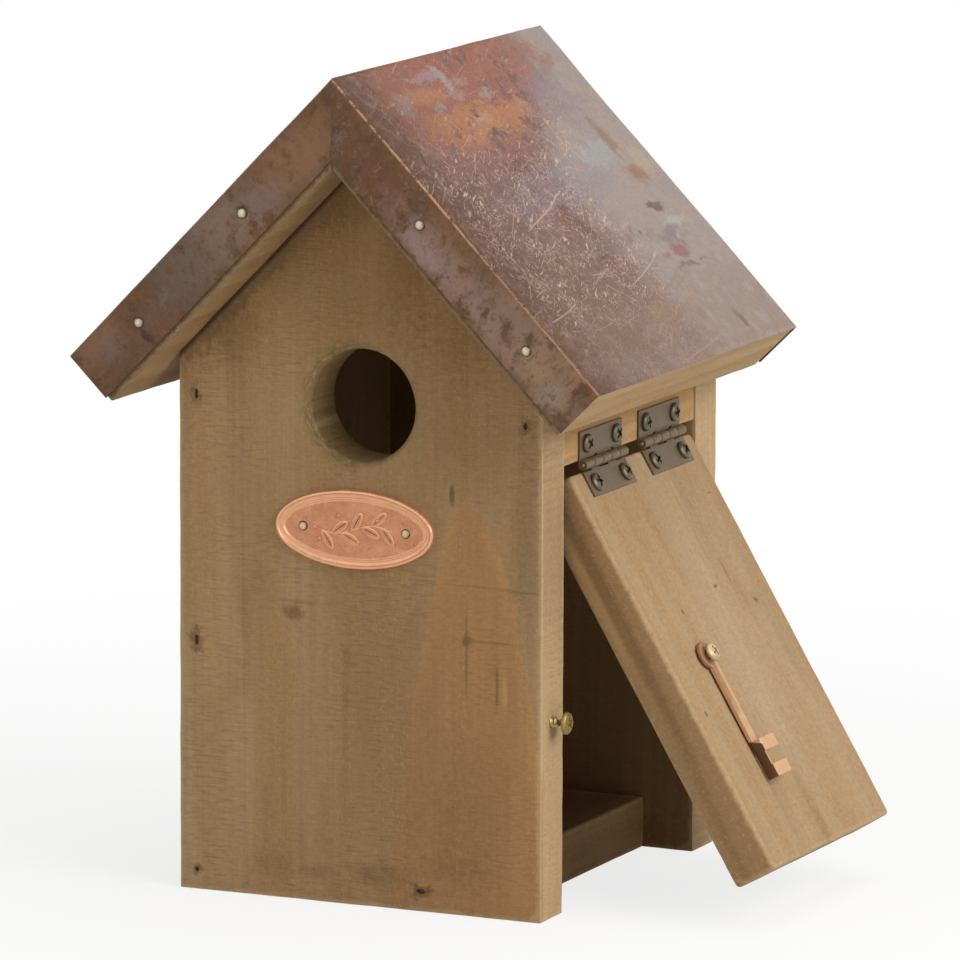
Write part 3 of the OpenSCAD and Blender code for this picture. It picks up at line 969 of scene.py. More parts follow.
# What is painted on the walls, the door, the slopes and the folded edges: each row holds a Mark's values.
FRONT_MARKS = marked(
    (6, 40, 22, 80, (136, 104, 70), 0.5, 0.7, 0.8), (-52, 60, 9, 120, (176, 142, 102), 0.3, 0.8, 0.6),
    # The broad dark patch high up at 4, 212 is painted shadow of the roof.
    (4, 212, 70, 44, (132, 96, 56), 0.55, 0.6, 0.5), (-20, 120, 6, 90, (172, 138, 98), 0.25, 0.8),
    (40, 150, 18, 26, (138, 104, 68), 0.4, 0.8), (-22, 88, 3.4, 2.0, (114, 86, 54), 0.7),
    (-19, 91.5, 8, 0.6, (122, 94, 60), 0.4, 0.7, 0.8), (35.5, 84, 1.6, 1.8, (98, 72, 42), 0.6, 0.5, 1.4),
    (35.5, 80, 0.5, 12, (120, 88, 52), 0.5, 0.6, 0.4), (44, 84, 9, 0.4, (118, 86, 50), 0.45, 0.6, 0.5),
    (30.5, 128, 0.8, 3.2, (92, 68, 40), 0.65, 0.5, 0.8), (45.6, 71, 0.5, 6.5, (104, 76, 44), 0.6, 0.6, 0.6),
    (48, 69, 0.8, 5, (186, 148, 98), 0.5, 0.6, 0.8), (53, 100, 6, 0.4, (112, 82, 48), 0.5, 0.6, 0.4),
    (40, 100.6, 12, 0.35, (132, 98, 60), 0.4, 0.6, 0.4), (-28, 10, 7, 5, (122, 96, 62), 0.4, 0.7),
    (-14, 9, 5, 2, (116, 90, 56), 0.4, 0.7), (7, 10, 9, 3.4, (116, 90, 56), 0.45, 0.7),
    (32, 14, 10, 4, (126, 94, 60), 0.35, 0.7), (18, 94, 1, 2, (168, 136, 96), 0.4, 0.6),
    (57, 116, 6, 30, (120, 94, 64), 0.5, 0.7, 0.6), (38, 30, 12, 20, (116, 84, 54), 0.32, 0.8),
    (-14, 186, 12, 9, (150, 122, 86), 0.4, 0.8, 1.3), (16, 198, 7, 20, (114, 80, 40), 0.4, 0.8, 1.3),
    (-8, 214, 12, 8, (100, 76, 42), 0.4, 0.8, 1.3), (34, 176, 9, 12, (122, 88, 48), 0.4, 0.8, 1.3),
    (-44, 172, 9, 8, (112, 84, 48), 0.35, 0.8, 1.3), (-54.5, 77, 2.2, 3.6, (92, 66, 38), 0.55, 0.5, 1.6),
    (-54.5, 152.5, 1.8, 3.0, (92, 66, 38), 0.5, 0.5, 1.6), (-54.5, 6, 1.6, 1.6, (92, 66, 38), 0.5, 0.5, 1.6),
    (20.5, 6, 3.0, 2.0, (86, 62, 36), 0.6, 0.5, 1.6), (54.5, 150.2, 1.8, 2.2, (92, 66, 38), 0.5, 0.5, 1.6),
)
BACK_MARKS = marked(
    (8, 70, 20, 80, (176, 142, 102), 0.3, 0.8, 0.8), (-34, 110, 9, 90, (132, 100, 62), 0.35, 0.8, 0.8),
    (26, 128, 7, 13, (136, 102, 62), 0.5, 0.7), (26, 128, 2.6, 3.4, (88, 62, 36), 0.75, 0.4, 0.8),
    (0, 5, 70, 9, (110, 84, 52), 0.45, 0.8, 1.4), (-6, 200, 40, 26, (116, 86, 48), 0.35, 0.8, 1.2),
)
LEFT_MARKS = marked(
    (-16, 60, 14, 80, (176, 142, 102), 0.3, 0.8, 0.8), (22, 96, 8, 16, (136, 102, 62), 0.5, 0.7),
    (22, 96, 3.0, 3.8, (88, 62, 36), 0.75, 0.4, 0.8), (0, 5, 70, 9, (110, 84, 52), 0.45, 0.8, 1.4),
    (30, 150, 30, 14, (120, 90, 54), 0.4, 0.8, 1.2),
)
DOOR_MARKS = marked(
    (-3, -122, 2.6, 15, (140, 106, 66), 0.55, 0.6, 0.5), (22, -52, 3, 10, (146, 114, 74), 0.45, 0.6, 0.6),
    (-10, -30, 3, 18, (148, 116, 76), 0.45, 0.7, 0.6), (3, -72, 16, 34, (176, 152, 122), 0.4, 0.8),
    (30, -57, 1.1, 0.8, (84, 60, 36), 0.85, 0.4, 0.6), (30, -57, 2.2, 2.6, (140, 106, 66), 0.45, 0.6, 0.8),
    (8.5, -48.5, 1.3, 0.5, (104, 78, 48), 0.8, 0.4, 0.6), (-20.5, -52, 0.7, 0.9, (108, 82, 50), 0.8, 0.4, 0.6),
    (-39, -83, 0.7, 0.9, (100, 74, 44), 0.8, 0.4, 0.6), (36, -21, 1.4, 0.4, (112, 86, 54), 0.7, 0.5, 0.6),
    (20, -45, 0.6, 3.5, (132, 98, 60), 0.6, 0.5, 0.6),
)
DOOR_STREAKS = marked(
    (-7.5, -45, 2.2, 46, (104, 76, 46), 0.6, 0.6, 0.5), (-11.5, -34, 1.4, 26, (176, 140, 92), 0.4, 0.6, 0.5),
    (-9.5, -112, 1.6, 30, (116, 88, 56), 0.4, 0.7, 0.6),
)
STAINS = marked(
    (-33, 40, 34, 6, (128, 84, 76), 0.6, 0.35, 0.9), (27, 8, 26, 9, (140, 92, 74), 0.7, 0.35),
    (-22, 9, 3.4, 5, (146, 132, 126), 0.85, 0.25, 0.7), (-33, 8, 9, 2, (138, 114, 116), 0.8, 0.35, 0.8),
    (-57, 15, 6, 5, (140, 114, 106), 0.8, 0.4), (-37, 19.5, 4.5, 1.8, (134, 122, 112), 0.8, 0.35, 0.8),
    (-3, 17.8, 5, 1.9, (136, 126, 114), 0.8, 0.35, 0.8), (-21, 16, 6, 2.2, (144, 118, 110), 0.7, 0.4, 0.9),
    (-13, 11.5, 6, 1.4, (138, 116, 106), 0.7, 0.4, 0.9), (-17, 26, 6, 2.6, (158, 122, 98), 0.8, 0.35, 0.5),
    (-20, 24.6, 2.0, 1.3, (78, 62, 36), 0.9, 0.35, 0.5), (-22, 56, 36, 8, (122, 102, 106), 0.75, 0.6, 1.3),
    (10, 56, 18, 9, (136, 126, 128), 0.7, 0.6, 1.1), (34, 26, 18, 9, (134, 113, 117), 0.85, 0.6, 0.9),
    (33, 48, 13, 6, (146, 144, 140), 0.95, 0.4, 0.8), (46, 44, 3.2, 9, (128, 102, 80), 0.85, 0.5, 0.8),
    (49, 58, 6, 4, (134, 104, 78), 0.9, 0.5, 0.9), (56, 55, 5, 6, (162, 144, 124), 0.8, 0.5, 0.8),
    (40, 70, 4.4, 2.0, (92, 76, 68), 0.85, 0.3, 1.2), (46, 77, 7, 1.8, (160, 152, 144), 0.8, 0.4, 0.7),
    (18, 77.5, 1.8, 1.0, (92, 78, 70), 0.9, 0.4, 0.7), (34, 82, 12, 3.0, (122, 109, 109), 0.85, 0.5, 0.9),
    (31, 87.5, 8, 2.6, (128, 86, 80), 0.8, 0.35, 0.9), (35, 92.8, 10, 0.9, (104, 88, 80), 0.8, 0.5, 0.6),
    (-5, 78, 24, 3, (120, 98, 88), 0.6, 0.5, 1.4), (-68, 88, 8, 3, (124, 90, 58), 0.7, 0.4, 1.4),
    (-66, 100, 12, 5, (100, 76, 68), 0.6, 0.5, 1.4), (-30, 113, 26, 3, (118, 88, 60), 0.6, 0.5, 1.5),
    (-12, 106, 12, 3, (138, 110, 76), 0.6, 0.5, 1.5), (-42, 104, 5, 5, (124, 116, 98), 0.7, 0.5, 1.1),
    (-58, 116, 12, 5, (132, 122, 104), 0.6, 0.5, 1.1), (35, 116, 1.8, 4.4, (90, 72, 62), 0.9, 0.4, 0.7),
    (-58, 122.5, 9, 2.5, (96, 78, 68), 0.7, 0.5, 0.9), (15, 110, 3, 3, (122, 104, 92), 0.5, 0.5, 0.8),
    (40, 122, 60, 2, (140, 112, 88), 0.5, 0.5, 0.8), (-62, 76, 20, 74, (98, 68, 52), 0.5, 0.7, 0.9),
    (-84, 60, 20, 110, (78, 47, 24), 0.95, 0.6, 0.4), (20, -30, 16, 9, (138, 118, 112), 0.7),
    (44, -24, 3.4, 10, (126, 100, 80), 0.8, 0.5, 0.9), (30, -52, 12, 5, (148, 146, 142), 0.85, 0.4, 0.8),
    (40, -72, 10, 4, (120, 104, 98), 0.8, 0.4, 0.9), (50, -90, 7, 2.4, (126, 84, 78), 0.8, 0.3, 0.9),
    (38, -104, 4.4, 2.2, (92, 76, 68), 0.85, 0.4, 0.9), (6, -100, 40, 7, (126, 100, 80), 0.6, 0.5, 1.4),
    (0, -62, 20, 8, (132, 120, 118), 0.6, 0.6, 1.3), (-30, -12, 26, 6, (158, 108, 72), 0.6),
    (-54, -38, 16, 8, (118, 88, 78), 0.6, 0.5, 1.2), (8, 110, 74, 16, (132, 108, 90), 0.5, 0.6, 1.2),
    (-48, 100, 26, 22, (104, 78, 58), 0.7, 0.6, 1.2),
)
FRONT_STAINS = marked(
    (-96, 30, 5, 13, (122, 66, 48), 0.6, 0.5, 0.9), (-97, 76, 6, 36, (142, 116, 110), 0.8, 0.6, 0.9),
    (-99, 56, 3, 9, (150, 126, 122), 0.7, 0.5, 0.9), (-91, 84, 4, 9, (116, 96, 92), 0.7, 0.5, 0.9),
    (-93, 20, 4, 7, (110, 84, 60), 0.6, 0.5, 0.9), (-88, 74, 2, 6, (90, 60, 40), 0.6, 0.5, 0.8),
    (-90, 95, 5, 14, (132, 106, 90), 0.7, 0.5, 0.9), (-96, 106, 5, 5, (146, 118, 84), 0.7, 0.5, 0.9),
    (-96, 115, 5, 5, (136, 124, 114), 0.8, 0.5, 0.9), (-88, 116, 3, 4, (142, 94, 70), 0.6, 0.5, 0.9),
    (-95, -24, 8, 16, (134, 98, 66), 0.75, 0.6, 0.9), (-97, -45, 6, 10, (116, 98, 92), 0.8, 0.5, 0.8),
    (-93, -60, 10, 14, (124, 106, 92), 0.8, 0.6, 0.8), (-93, -78, 10, 12, (104, 88, 76), 0.8, 0.6, 0.8),
    (-97, -95, 5, 12, (112, 84, 72), 0.6, 0.5, 1.4), (-92, -114, 8, 9, (110, 84, 66), 0.7, 0.6, 0.9),
    (-93, 110, 9, 14, (154, 124, 98), 0.5, 0.6, 1.2), (-94, 82, 10, 36, (152, 120, 92), 0.35, 0.7),
    (-94, -42, 10, 30, (146, 114, 90), 0.3, 0.7), (-88, -114, 7, 10, (150, 112, 86), 0.4, 0.7),
    (-93, 22, 9, 16, (100, 72, 48), 0.5, 0.6, 1.2), (-94, -49.6, 2.4, 2.4, (62, 36, 26), 0.8, 0.4, 0.5),
    (-99, -100.5, 4, 1.2, (58, 44, 32), 0.7, 0.5, 0.4),
)


@dataclass(frozen=True)
class PatinaCopper:
    """Oxidised copper sheet: a heat-coloured patch, brown and grey bloom, stains and a web of scratches.

    Its flat map has the box's depth along u and the distance down the slope along v,
    negative on the left slope.
    """

    name: str = "patina_copper"
    brown: Paint = (106, 76, 64)
    umber: Paint = (84, 59, 46)
    grey: Paint = (150, 137, 131)
    orange: Paint = (136, 82, 64)
    ochre: Paint = (158, 106, 70)
    scratched: Paint = (200, 172, 156)
    front_fold: float = -85.4
    back_fold: float = 65.4

    def build(self, effects: Effects) -> Material:
        """Makes the material.

        Args:
            effects: The shared effects.

        Returns:
            The material.
        """
        material, g, body = shader(self.name, 0.45, 0.3, 0.18)
        flat = g.make("ShaderNodeUVMap", uv_map="sheet").scaled(1000.0)
        u, v, _ = flat.parts()
        down = abs(v)
        cloud, _ = g.effect(effects.mottle, vector=flat, size=30.0, crisp=0.5, seed=3.0)
        small, fine = g.effect(effects.mottle, vector=flat, size=8.0, crisp=0.75, seed=11.0)
        crumbs = flat.noise((0.5, 0.9, 1.0), 3, 0.6) - 0.5
        torn = (flat.mapped(turn=(0.0, 0.0, 0.3)).noise((0.07, 0.2, 1.0), 5, 0.62) - 0.5) * 1.7 + crumbs * 1.2
        sway = g.vector("SUBTRACT", flat.noise(0.1, 5, 0.65, out=1), (0.5, 0.5, 0.5))
        bent = g.vector("ADD", flat, sway.scaled(9.0))
        tone = g.mix(small.fit(0.2, 0.9, 0, 0.6), self.brown, self.umber)
        tone = tone.mix(cloud.fit(0.35, 0.8, 0, 0.6), (126, 98, 88))
        patch = bent.noise((0.26, 0.4, 1.0), 4, 0.7)
        tone = tone.mix(patch.fit(0.52, 0.6, 0, 0.55), (126, 84, 76))
        tone = tone.mix(patch.fit(0.47, 0.38, 0, 0.55), (80, 60, 54))
        bloom = (u + down.fit(12, 50, 1, 0) * -38 + torn * 16).fit(-16, 20)
        low = (down + torn * 18).fit(84, 118) * u.fit(-78, -45) * 0.4
        soft = bent.noise((0.07, 0.1, 1.0), 4, 0.6)
        pale = g.mix(soft.fit(0.42, 0.6), self.grey, (158, 142, 130))
        tone = tone.mix((bloom | low) * 0.85, pale.mix(patch.fit(0.5, 0.68, 0, 0.4), (134, 122, 122)))
        heat = marked((-24, 12, 57, 28, self.orange, 0.94, 0.15, 0.4), (-60, 26, 20, 13, self.orange, 0.8, 0.35, 0.6),
                     (-22, 27, 44, 7, self.ochre, 0.8, 0.4, 0.9), (-42, 14, 15, 3.2, self.ochre, 0.75, 0.45, 1.0),
                     (12, 26, 10, 4, self.ochre, 0.6, 0.45, 1.0), (-30, 34, 24, 3, self.ochre, 0.6, 0.5, 1.2))
        tone = lay(tone, heat + STAINS, effects, bent, torn)
        rough = (u > self.front_fold) * bloom.fit(0.2, 0.8, 1, 0.25) * down.fit(30, 42, 0.35, 1)
        tone = tone.mix(fine.fit(0.5, 0.75) * rough * 0.4, (150, 120, 108))
        tone = tone.mix(crumbs.fit(0.03, 0.16) * rough * 0.45, (88, 62, 54))
        folded = (u < self.front_fold) | (u > self.back_fold)
        tone = tone.mix(folded, self._edge_tone(effects, bent, patch, soft, torn * 0.4))
        scratches = self._scratched(effects, flat, down, torn)
        tone = tone.mix(scratches * 0.86, self.scratched)
        # A light line along the front fold: worn edge and painted highlight.
        fold = abs(u - self.front_fold - 0.1).fit(0.3, 0.8, 1, 0) * torn.fit(-0.2, 0.1) * down.fit(50, 80, 0.65, 0.35)
        tone = tone.mix(fold, (176, 136, 102))
        cut = u.fit(-102.9, -103.5) * patch.fit(0.46, 0.56) * v.fit(0, 4, 0.2, 0.75)
        g.feed(body.inputs["Base Color"], tone.mix(cut, (172, 142, 104)))
        g.feed(body.inputs["Roughness"], fine.fit(0.3, 0.7, 0.36, 0.56) + scratches * 0.12)
        height = small * 0.3 + scratches * -0.5 + cloud * 0.5
        g.feed(body.inputs["Normal"], height.bump(0.35, 0.2 * MM))
        return material

    @staticmethod
    def _edge_tone(effects: Effects, flat: Value, patch: Value, soft: Value, torn: Value) -> Value:
        """Colour of the folded edges, darker than the slopes.

        Args:
            effects: The shared effects.
            flat: Place on the sheet.
            patch: Fine mottling.
            soft: Broad mottling.
            torn: Raggedness.

        Returns:
            The colour.
        """
        tone = flat.graph.mix(soft.fit(0.42, 0.6), (108, 76, 52), (92, 66, 46))
        tone = lay(tone, FRONT_STAINS, effects, flat, torn)
        right = flat.parts()[1].fit(-4, 4, 0.35, 1)
        for low, full, share, shade in ((0.52, 0.66, 0.45, (128, 98, 78)), (0.48, 0.36, 0.55, (84, 64, 52)),
                                        (0.6, 0.72, 0.6, (142, 120, 112))):
            tone = tone.mix(patch.fit(low, full, 0, share) * right, shade)
        return tone.mix(soft.fit(0.55, 0.66, 0, 0.35), (116, 104, 98))

    @staticmethod
    def _scratched(effects: Effects, flat: Value, down: Value, torn: Value) -> Value:
        """Mask of the scratches: a fine web, longer strokes and a few broad scuffs.

        Args:
            effects: The shared effects.
            flat: Place on the sheet.
            down: Distance down the slope.
            torn: Raggedness.

        Returns:
            The mask.
        """
        g, u = flat.graph, flat.parts()[0]
        bent = g.vector("ADD", flat, flat.noise(0.05, out=1).scaled(2.0))
        total = g.effect(effects.crackle, vector=flat)[0] * down.fit(34, 48)
        total = total * flat.noise((0.09, 0.11, 1.0), 3, 0.6).fit(0.5, 0.62, 0, 0.55)
        for number, (cell, width, length, share, lean, spread, strength) in enumerate((
                (4.0, 0.22, 3.0, 0.5, 0.5, 2.6, 0.7), (8.0, 0.23, 8.0, 0.45, 0.42, 0.9, 0.8),
                (31.0, 0.3, 26.0, 0.7, 0.3, 0.4, 0.7), (17.0, 0.24, 17.0, 0.4, -0.9, 0.8, 0.8))):
            shifted = g.vector("ADD", bent, (17.0 * number, 29.0 * number, 0.0))
            total = total | g.effect(effects.scratches, vector=shifted, cell=cell, width=width, length=length,
                                     share=share, lean=lean, spread=spread)[0] * strength
        for number, (lean, long, thin, low, high, strength) in enumerate((
                (0.5, 3.0, 0.42, 0.59, 0.68, 0.9), (1.4, 2.2, 0.38, 0.6, 0.69, 0.8), (-0.5, 2.4, 0.36, 0.6, 0.69, 0.8),
                (0.45, 6.0, 1.4, 0.61, 0.66, 0.85), (-1.1, 3.6, 1.0, 0.63, 0.68, 0.75))):
            shifted = g.vector("ADD", flat, (31.0 * number, 13.0 * number, 0.0))
            mask = g.effect(effects.scuffs, vector=shifted, lean=lean, long=long, thin=thin, low=low, high=high)[0]
            total = total | mask * shifted.noise((0.1, 0.14, 1.0), 3, 0.6).fit(0.48, 0.6) * strength
        total = total * (down + torn * 14).fit(24, 42, 0.4, 1) * u.fit(-82, -70, 0.45, 1)
        total = total * (u + down.fit(20, 60, 1, 0) * -26 + torn * 12).fit(2, 26, 1, 0.08)
        return total * (down + torn * 12).fit(90, 110, 1, 0.35) * u.fit(-85.6, -85.2, 0.12, 1)


@dataclass(frozen=True)
class Metal:
    """A plain metal with its own tarnish and dirt, and an edge colour along its sharp edges.

    The edge colour is bright wear with painted highlight on the plaque, the key and the hinge leaves, and a
    painted contact shadow on the nails and screws, where it is dark. The shade setting paints shade on one face.
    """

    name: str
    bright: Paint
    tarnish: Paint
    dirt: Paint
    worn: Paint
    roughness: float = 0.35
    metallic: float = 0.9
    tarnish_share: float = 0.5
    bump: float = 0.2
    wear: float = 0.6
    polish: Point | None = None
    shade: Point | None = None
    rim: float = 0.5

    def build(self, effects: Effects) -> Material:
        """Makes the material.

        Args:
            effects: The shared effects.

        Returns:
            The material.
        """
        material, g, body = shader(self.name, self.roughness, self.metallic)
        spot = g.spot()
        cloud, fine = g.effect(effects.mottle, vector=spot, size=4.0, crisp=0.4, seed=5.0)
        wear = g.effect(effects.edge_wear, vector=spot, width=self.rim, raggedness=0.3)[0]
        tone = g.mix(cloud * self.tarnish_share, self.bright, self.tarnish).mix(fine.fit(0.55, 0.8, 0, 0.5), self.dirt)
        x, y, z = spot.parts()
        if self.polish:
            centre_x, centre_z, radius = self.polish
            rolled = g.away(x - centre_x, z - centre_z).fit(radius, radius + 0.4, 1, 0)
            tone = tone.mix(rolled * cloud.fit(0.2, 0.8, 0.25, 0.75), self.worn)
        # Edge colour: bright wear with painted highlight, and a painted contact shadow where the colour is dark.
        tone = tone.mix(wear * self.wear, self.worn)
        # Painted shade, in the dirt colour, on a face that lies away from the lamp.
        if self.shade:
            near, far, top = self.shade
            tone = tone.mix(y.fit(near, far, 0.92, 0) * (z < top), self.dirt)
        g.feed(body.inputs["Base Color"], tone)
        g.feed(body.inputs["Roughness"], fine.fit(0.3, 0.7, self.roughness, min(1.0, self.roughness + 0.2)))
        g.feed(body.inputs["Normal"], fine.bump(self.bump, 0.15 * MM))
        return material


# ---- Shared modelling of boards, nails and screws ----

def mark_edges(obj: Piece, sharp: Sequence[tuple[Vector, Vector]]) -> Piece:
    """Stores each point's distance from the sharp edges, in millimetres, as the edge attribute.

    Args:
        obj: The piece.
        sharp: Both ends of each sharp edge; with none, the origin stands in.

    Returns:
        The piece.
    """
    spots = []
    for a, b in sharp or [(Vector(), Vector())]:
        count = max(1, round((b - a).length / EDGE_STEP))
        spots += [a.lerp(b, i / count) for i in range(count + 1)]
    tree = kdtree.KDTree(len(spots))
    for index, spot in enumerate(spots):
        tree.insert(spot, index)
    tree.balance()
    values = [tree.find(vert.co)[2] / MM for vert in obj.data.vertices]
    attribute = obj.data.attributes.new("edge", "FLOAT", "POINT")
    attribute.data.foreach_set("value", values)
    return obj


def sharp_edges(obj: Piece, angle: float = 30.0) -> list[tuple[Vector, Vector]]:
    """Both ends of the edges where a piece's faces meet at more than an angle in degrees.

    Args:
        obj: The piece.
        angle: The least angle, in degrees.

    Returns:
        Each edge's two ends.
    """
    mesh = bmesh.new()
    mesh.from_mesh(obj.data)
    limit = math.radians(angle)
    found = [(e.verts[0].co.copy(), e.verts[1].co.copy()) for e in mesh.edges
             if len(e.link_faces) != 2 or e.calc_face_angle(0.0) > limit]
    mesh.free()
    return found


@dataclass
class Board:
    """A sawn board: a block with a fine net of points, trimmed, rounded and slightly uneven."""

    name: str
    low: Point
    high: Point
    turn: Matrix = field(default_factory=Matrix)
    trims: tuple[tuple[Point, Point], ...] = ()
    cutters: tuple[Callable[[], Piece], ...] = ()
    round_r: float = 0.9 * MM
    step: float = 3.6 * MM
    seed: int = 1
    uneven: float = 0.25 * MM
    saw_wave: float = 14 * MM
    fibre_wave: float = 3 * MM

    def build(self) -> Piece:
        """Models the board.

        Returns:
            The finished board.
        """
        size = [b - a for a, b in zip(self.low, self.high)]
        thin = size.index(min(size))
        wide, long = [axis for axis in range(3) if axis != thin]
        counts = [max(2, round(length / self.step)) for length in size]
        obj = start(bpy.ops.mesh.primitive_grid_add, self.name, (size[wide], size[long], 1),
                    x_subdivisions=counts[wide], y_subdivisions=counts[long], size=1)
        with Bench(obj, "FACE") as bench:
            bench.all()
            for _ in range(counts[thin]):
                bench.extrude((0, 0, size[thin] / counts[thin]))
            bench.tidy()
        turn = Matrix.Diagonal((0, 0, 0, 1))
        for column, row in enumerate((wide, long, thin)):
            turn[row][column] = 1.0
        middle = [(a + b) / 2 for a, b in zip(self.low, self.high)]
        middle[thin] = self.low[thin]
        obj.data.transform(Matrix.Translation(middle) @ turn)
        with Bench(obj) as bench:
            bench.tidy()
            for point, normal in self.trims:
                bench.cut(point, normal, clear=True)
        sharp = sharp_edges(obj)
        soften(obj, self.round_r)
        for cutter in self.cutters:
            carve(obj, cutter())
        ripple(obj, self.seed, self.uneven, self.saw_wave)
        ripple(obj, self.seed + 7, self.uneven / 2, self.fibre_wave)
        return smooth(place(mark_edges(obj, sharp), self.turn))


@dataclass(frozen=True)
class Nail:
    """A hammered nail with a domed head, shank along -Z."""

    head_r: float = 1.65 * MM
    head_h: float = 0.8 * MM
    shank_r: float = 0.75 * MM
    length: float = 13.5 * MM
    tip_r: float = 0.05 * MM
    tip_l: float = 1.6 * MM
    neck: float = 0.1 * MM
    dent: float = 0.12 * MM

    def build(self) -> Piece:
        """Models one nail.

        Returns:
            The nail, its head's underside at the origin.
        """
        r, h, s = self.head_r, self.head_h, self.shank_r
        dome = ((0, 0.9), (0.2, 1), (0.45, 0.94), (0.72, 0.74), (0.92, 0.42), (1, 0.1))
        obj = lathe("nail", ((-self.length, self.tip_r), (-self.length + self.tip_l, s), (-self.neck, s),
                             *((h * up, r * out) for up, out in dome)), 24)
        with Bench(obj) as bench:
            bench.points(lambda co: co.z > h * 0.6 and co.x > r * 0.2)
            bench.move((0, 0, -self.dent))
        return smooth(obj, 50)


@dataclass(frozen=True)
class Screw:
    """A cross-recess pan-head screw with a threaded shank along -Z."""

    head_r: float
    head_h: float
    shank_r: float
    length: float
    thread: float = 1.1 * MM
    neck: float = 0.25 * MM
    overlap: float = 0.05 * MM
    steps: int = 16

    def build(self, name: str = "screw") -> Piece:
        """Models one screw.

        Args:
            name: The screw's name.

        Returns:
            The screw, its head's underside at the origin.
        """
        r, h = self.head_r, self.head_h
        pan = ((0, 0.96), (0.12, 1), (0.35, 1), (0.6, 0.93), (0.8, 0.76), (0.94, 0.5), (1, 0.18))
        head = lathe(name, ((-self.neck, self.shank_r), *((h * up, r * out) for up, out in pan)), 40)
        for turn in (0, math.pi / 2):
            carve(head, self._blade(turn))
        return smooth(join([head, self._shank()], name), 40)

    def _blade(self, turn: float) -> Piece:
        """Cutter for one blade of the cross recess, narrower at its foot.

        Args:
            turn: Angle about the screw's axis.

        Returns:
            The cutter.
        """
        foot, top = self.head_h * 0.35, self.head_h * 1.2
        blade = start(bpy.ops.mesh.primitive_cube_add, "blade", (self.head_r * 1.16, self.head_r * 0.3, top - foot),
                      size=1, location=(0, 0, (foot + top) / 2))
        with Bench(blade) as bench:
            bench.points(lambda co: co.z < self.head_h / 2)
            bench.scale((0.35, 0.6, 1), (0, 0, foot))
        return place(blade, Matrix.Rotation(turn, 4, "Z"))

    def _shank(self) -> Piece:
        """The threaded shank with its point: a thread's profile, spun upwards and closed at both ends.

        Returns:
            The shank.
        """
        turns = max(2, round(self.length / self.thread) - 2)
        core, step = self.shank_r * 0.72, self.thread
        shank = start(bpy.ops.mesh.primitive_circle_add, "shank", vertices=4, radius=step / 2,
                      rotation=(math.pi / 2, 0, 0), location=(core, 0, -self.length))
        with Bench(shank) as bench:
            bench.points(lambda co: co.x < core - step * 0.1)
            bpy.ops.mesh.delete(type="VERT")
            bench.points(lambda co: co.x > core + step * 0.1)
            bench.move((self.shank_r - core - step / 2, 0, 0))
        modify(shank, "SCREW", axis="Z", angle=math.tau, screw_offset=step, iterations=turns, steps=self.steps,
               render_steps=self.steps, use_merge_vertices=True, merge_threshold=TOUCH)
        with Bench(shank, "EDGE") as bench:
            low = min(v.co.z for v in shank.data.vertices)
            bench.edges(lambda a, b, border: border and (a.z + b.z) / 2 < low + step * 1.6)
            bench.extrude((0, 0, -step))
            bench.scale((0.1, 0.1, 0.1), (0, 0, low - step))
            bpy.ops.mesh.edge_face_add()
            bench.edges(lambda a, b, border: border)
            bench.extrude((0, 0, step))
            bpy.ops.mesh.edge_face_add()
            bench.tidy()
        top = max(v.co.z for v in shank.data.vertices)
        return place(shank, Matrix.Translation((0, 0, self.overlap - self.neck - top)))


def facing(spot: Spot, direction: Spot, spin: float = 0.0) -> Matrix:
    """Matrix that stands a piece's Z axis along a direction at a spot, spun about it."""
    turn = Vector(direction).to_track_quat("Z", "Y").to_matrix().to_4x4()
    return Matrix.Translation(Vector(spot)) @ turn @ Matrix.Rotation(spin, 4, "Z")


def scatter(pattern: Piece, places: Sequence[Matrix], name: str) -> Piece:
    """Puts a copy of a pattern at each place, joins the copies and takes the pattern away.

    Args:
        pattern: The piece that is copied.
        places: The copies' matrices.
        name: The joined piece's name.

    Returns:
        The joined piece.
    """
    copies = [copy_of(pattern, matrix) for matrix in places]
    bpy.data.objects.remove(pattern)
    return join(copies, name)


def dress(obj: Piece, material: Material) -> None:
    """Gives a piece one material."""
    obj.data.materials.clear()
    obj.data.materials.append(material)


def mount(obj: Piece, material: Material, body: str, slot: str, *nodes: str) -> None:
    """Dresses a finished piece and fits it to the frame.

    Args:
        obj: The piece.
        material: Its finish.
        body: The body it moves with.
        slot: The record's material slot; not used.
        nodes: The frame's nodes that it stands for.
    """
    dress(obj, material)
    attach(obj, body)
    if nodes:
        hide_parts(*nodes)
    LOG.info("%s rides on %s, %d faces", obj.name, body, len(obj.data.polygons))


# ---- Sub-assemblies ----

@dataclass
class Assembly:
    """What each sub-assembly works with."""

    sizes: Measures
    effects: Effects


